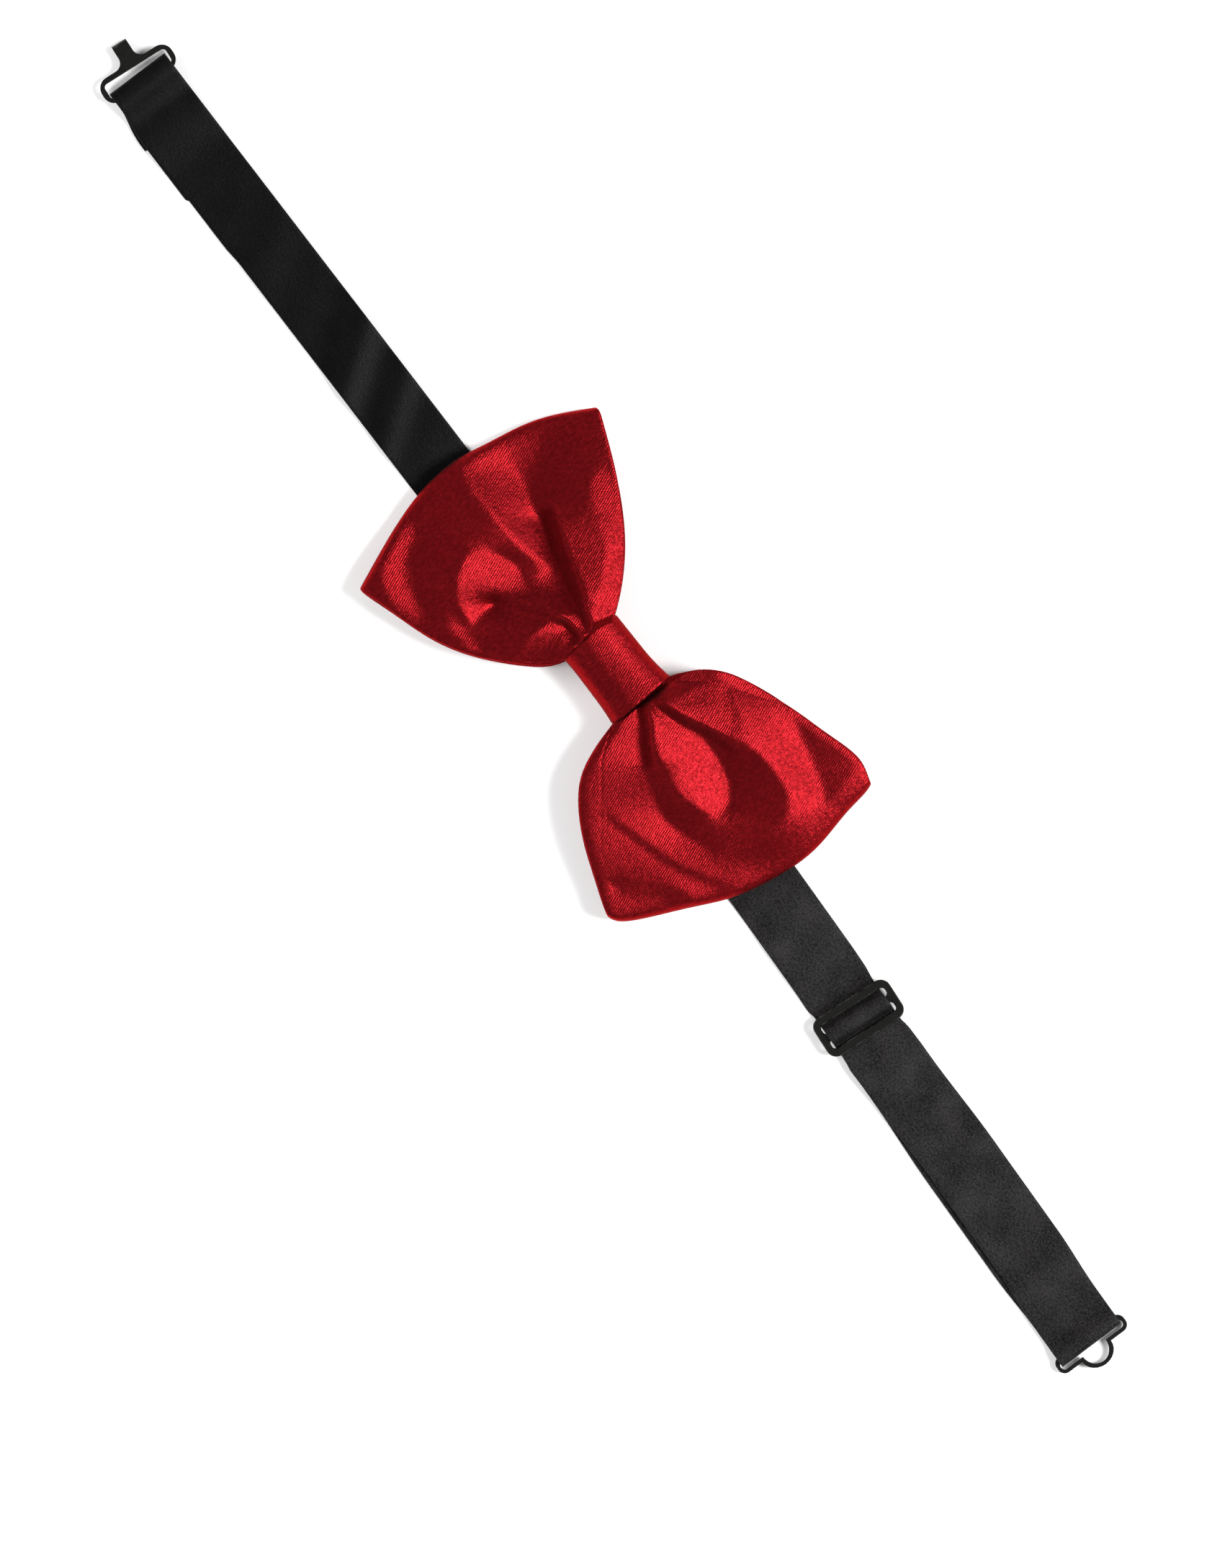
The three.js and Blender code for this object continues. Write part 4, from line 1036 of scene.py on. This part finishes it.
class BOWTIE_OT_neckband(bpy.types.Operator):
    """Makes the two lengths of the neckband's ribbon and their stitches"""

    bl_idname = "bowtie.make_neckband"
    bl_label = "Neckband"

    def execute(self, context):
        thickness = sizes().ribbon_thickness / MM * 0.94
        black = finish("black_ribbon", ribbon_finish, colours().ribbon)
        path = hook_side_path()

        def long_width(x):
            width = mix(strap_width(x), SLIDER_WIDTH, 1 - ease(5.2, 8.4, np.abs(x - SLIDER)))
            return width + pulled_edge(x)

        hem = np.where(np.arange(len(path)) < int(np.argmin(path[:, 0])), -0.55, 0.0)
        hem = hem * ease(-170, -163, path[:, 0])
        surface = strap_surface(
            path, 22, long_width, shift=lambda x: hem + slider_shift(x) - pulled_edge(x) / 2,
            lean=slider_lean, waving=np.ones(len(path)),
        )
        long_ribbon = cloth_strip("neckband_long_ribbon", surface[:, ::-1], thickness, black)
        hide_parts("band_ribbon", "band_slider_run", "band_slider_bend")

        def spread(x):
            return ease(SLIDER + 16, SLIDER + 40, x) * (1 - ease(EYE_BAR - 24, EYE_BAR - 8, x))

        back_path = eye_side_path()
        tip = int(np.argmax(back_path[:, 0]))
        side = np.where(np.arange(len(back_path)) < tip, 0.6, -0.6)
        row_width = mix(SLIDER_WIDTH, EYE_WIDTH, ease(5.2, 9, np.abs(back_path[:, 0] - SLIDER)))
        loop_width = mix(SLIDER_WIDTH, EYE_WIDTH, ease(7, 14, back_path[:, 0] - SLIDER))
        row_width = np.where(np.arange(len(back_path)) > tip, loop_width, row_width)
        surface = strap_surface(
            back_path, 22, lambda x: row_width, shift=lambda x: side * spread(x) + slider_shift(x),
            lean=slider_lean, waving=(np.arange(len(back_path)) < tip) * 1.0,
        )
        end_ribbon = cloth_strip("neckband_eye_ribbon", surface[:, ::-1], thickness, black)
        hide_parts("band_slider_loop", "band_front_run", "band_back_run", "band_eye_fold")

        thread = finish("black_sewing_thread", thread_finish, (0.02, 0.02, 0.02))
        for name, node, body in (
            ("hook_hem_seam", "hook_hem_stitches", "neckband"),
            ("slider_end_seam", "slider_end_stitches", "slider"),
        ):
            low, high = node_low(node), node_high(node)
            count = 2 * int((high[1] - low[1]) / 1.1) + 1
            place = np.linspace(low[1] + 0.2, high[1] - 0.2, count)
            odd = np.arange(count) % 2
            middle = np.full(count, (low[0] + high[0]) / 2)
            line = np.stack([middle + 0.12 * (odd - 0.5), place, 0.15 + 0.06 * odd], -1)
            seam = strand(name, line, 0.26, thread, 200, 8, 1.6)
            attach(seam, body)
            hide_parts(node)
        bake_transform(long_ribbon)
        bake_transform(end_ribbon)
        return {"FINISHED"}


# ---------------------------------------------------------------- the fittings


def rounded_copy(node, name, radius, material, body):
    """A copy of a fitting's CAD shape with its loose faces joined, its flat faces made whole and its sharp
    edges rounded over."""
    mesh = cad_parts[node].data.copy()
    mesh.name = name
    mesh.materials.clear()
    mesh.materials.append(material)
    piece = placed(name, mesh)
    weld = piece.modifiers.new("join", "WELD")
    weld.merge_threshold = 2e-6
    merge = piece.modifiers.new("whole faces", "DECIMATE")
    merge.decimate_type = "DISSOLVE"
    merge.angle_limit = math.radians(0.6)
    soft = piece.modifiers.new("round edges", "BEVEL")
    soft.width = radius
    soft.segments = 3
    soft.limit_method = "ANGLE"
    soft.angle_limit = math.radians(38)
    bpy.context.view_layer.update()
    done = bpy.data.meshes.new_from_object(piece.evaluated_get(bpy.context.evaluated_depsgraph_get()))
    piece.modifiers.clear()
    piece.data = done
    done.polygons.foreach_set("use_smooth", np.ones(len(done.polygons), bool))
    area = np.zeros(len(done.polygons), np.float32)
    done.polygons.foreach_get("area", area)
    normal = np.zeros(len(done.polygons) * 3, np.float32)
    done.polygons.foreach_get("normal", normal)
    tilt = np.abs(normal.reshape(-1, 3)[:, 2])
    edge = done.attributes.new("edge", "FLOAT", "FACE")
    edge.data.foreach_set("value", ((tilt > 0.15) & (tilt < 0.97)).astype(np.float32))
    shape = piece.modifiers.new("face shading", "WEIGHTED_NORMAL")
    shape.keep_sharp = True
    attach(piece, body)
    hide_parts(node)
    return piece


class BOWTIE_OT_fittings(bpy.types.Operator):
    """Makes the hook, the slider and the eye with rounded edges in blackened metal"""

    bl_idname = "bowtie.make_fittings"
    bl_label = "Hook, slider and eye"

    def execute(self, context):
        metal = finish("blackened_steel", metal_finish, colours().metal)
        radius = sizes().edge_round
        rounded_copy("hook_plate", "hook_fitting", radius, metal, "hook")
        rounded_copy("slider_frame", "slider_fitting", radius * 1.2, metal, "slider")
        rounded_copy("eye_plate", "eye_fitting", radius, metal, "eye")
        return {"FINISHED"}


# ---------------------------------------------------------------- the stage


def turn_and_place(thing, right, up, back, place):
    """Gives a lamp or the camera its three directions, back being away from what it faces, and its place."""
    turned = np.eye(4)
    turned[:3, 0], turned[:3, 1], turned[:3, 2], turned[:3, 3] = right, up, back, place
    thing.matrix_world = turned.T.tolist()


def soft_lamp(name, place, aim, side, power):
    """A square softbox at a place in metres, turned to its aim."""
    lamp = bpy.data.lights.new(name, "AREA")
    lamp.shape = "SQUARE"
    lamp.size = side
    lamp.energy = power
    box = placed(name, lamp)
    back = unit(np.array(place, float) - np.array(aim, float))
    across = unit(np.cross([0.0, 0.3, 1.0], back))
    up = np.cross(back, across)
    turn_and_place(box, across, up, back, place)
    return box


class BOWTIE_OT_stage(bpy.types.Operator):
    """Lays the table, sets the soft lamps and places the camera over the bow"""

    bl_idname = "bowtie.make_stage"
    bl_label = "Table, lamps and camera"

    def execute(self, context):
        scene = context.scene
        x, y = np.meshgrid(np.linspace(-1500, 1500, 9), np.linspace(-1500, 1500, 9), indexing="ij")
        points = np.stack([x, y, np.full_like(x, -0.05)], -1)
        faces, corner_r, corner_c = weave_grid(9, 9)
        uv = np.stack([corner_r, corner_c], -1).reshape(-1, 2)
        mesh = bpy.data.meshes.new("table_top")
        fill_mesh(mesh, points.reshape(-1, 3), faces, uv)
        mesh.materials.append(finish("white_table", floor_finish, colours().floor))
        placed("table_top", mesh)

        world = bpy.data.worlds.new("soft_room")
        world.use_nodes = True
        sky = world.node_tree.nodes["Background"]
        sky.inputs["Color"].default_value = (1.0, 1.0, 1.0, 1.0)
        sky.inputs["Strength"].default_value = 0.25
        scene.world = world
        side = LAMP_SIDE
        aim = (0.02, -0.015, 0.0)
        soft_lamp("window_light", (side[0] * 1.9, side[1] * 1.9, 2.1), aim, 1.0, 99.0)
        fill = soft_lamp("low_fill", (-side[0] * 2.3, -side[1] * 2.3, 1.2), aim, 2.2, 110.0)
        fill.visible_glossy = False  # it only softens the shadows on the table

        lens = bpy.data.cameras.new("camera")
        lens.sensor_fit = "VERTICAL"
        lens.sensor_height = 24.0
        distance = 1.6
        seen_height = 0.3557  # what the picture spans from top to bottom at that distance, in metres
        lens.lens = lens.sensor_height * distance / seen_height
        lens.clip_start = 0.01
        camera = placed("camera", lens)
        over_bow = (20.06 * MM, -15.7 * MM, distance + 3 * MM)
        turn_and_place(camera, (*LAMP_SIDE, 0), (-LAMP_SIDE[1], LAMP_SIDE[0], 0), (0, 0, 1), over_bow)
        scene.camera = camera
        scene.view_settings.view_transform = "Standard"
        scene.view_settings.look = "None"
        return {"FINISHED"}


# ---------------------------------------------------------------- the panel


class BOWTIE_PT_panel(bpy.types.Panel):
    """Lists the pieces and the values they are made from"""

    bl_idname = "BOWTIE_PT_panel"
    bl_label = "Bow tie"
    bl_space_type = "VIEW_3D"
    bl_region_type = "UI"
    bl_category = "Bow tie"

    def draw(self, context):
        column = self.layout.column(align=True)
        for operator in OPERATORS:
            column.operator(operator.bl_idname)
        for group in (sizes(), colours()):
            box = self.layout.box()
            for label in group.bl_rna.properties.keys():
                if label not in ("rna_type", "name"):
                    box.prop(group, label)


OPERATORS = (BOWTIE_OT_stage, BOWTIE_OT_bow, BOWTIE_OT_knot, BOWTIE_OT_neckband, BOWTIE_OT_fittings)
CLASSES = (BowTieSizes, BowTieColours, *OPERATORS, BOWTIE_PT_panel)


def register():
    for kind in CLASSES:
        bpy.utils.register_class(kind)
    bpy.types.Scene.bow_tie_sizes = bpy.props.PointerProperty(type=BowTieSizes)
    bpy.types.Scene.bow_tie_colours = bpy.props.PointerProperty(type=BowTieColours)


def unregister():
    del bpy.types.Scene.bow_tie_sizes
    del bpy.types.Scene.bow_tie_colours
    for kind in reversed(CLASSES):
        bpy.utils.unregister_class(kind)


def main():
    """Registers the add-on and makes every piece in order."""
    register()
    bpy.ops.bowtie.make_stage()
    bpy.ops.bowtie.make_bow()
    bpy.ops.bowtie.make_knot()
    bpy.ops.bowtie.make_neckband()
    bpy.ops.bowtie.make_fittings()


if __name__ == "__main__":
    main()
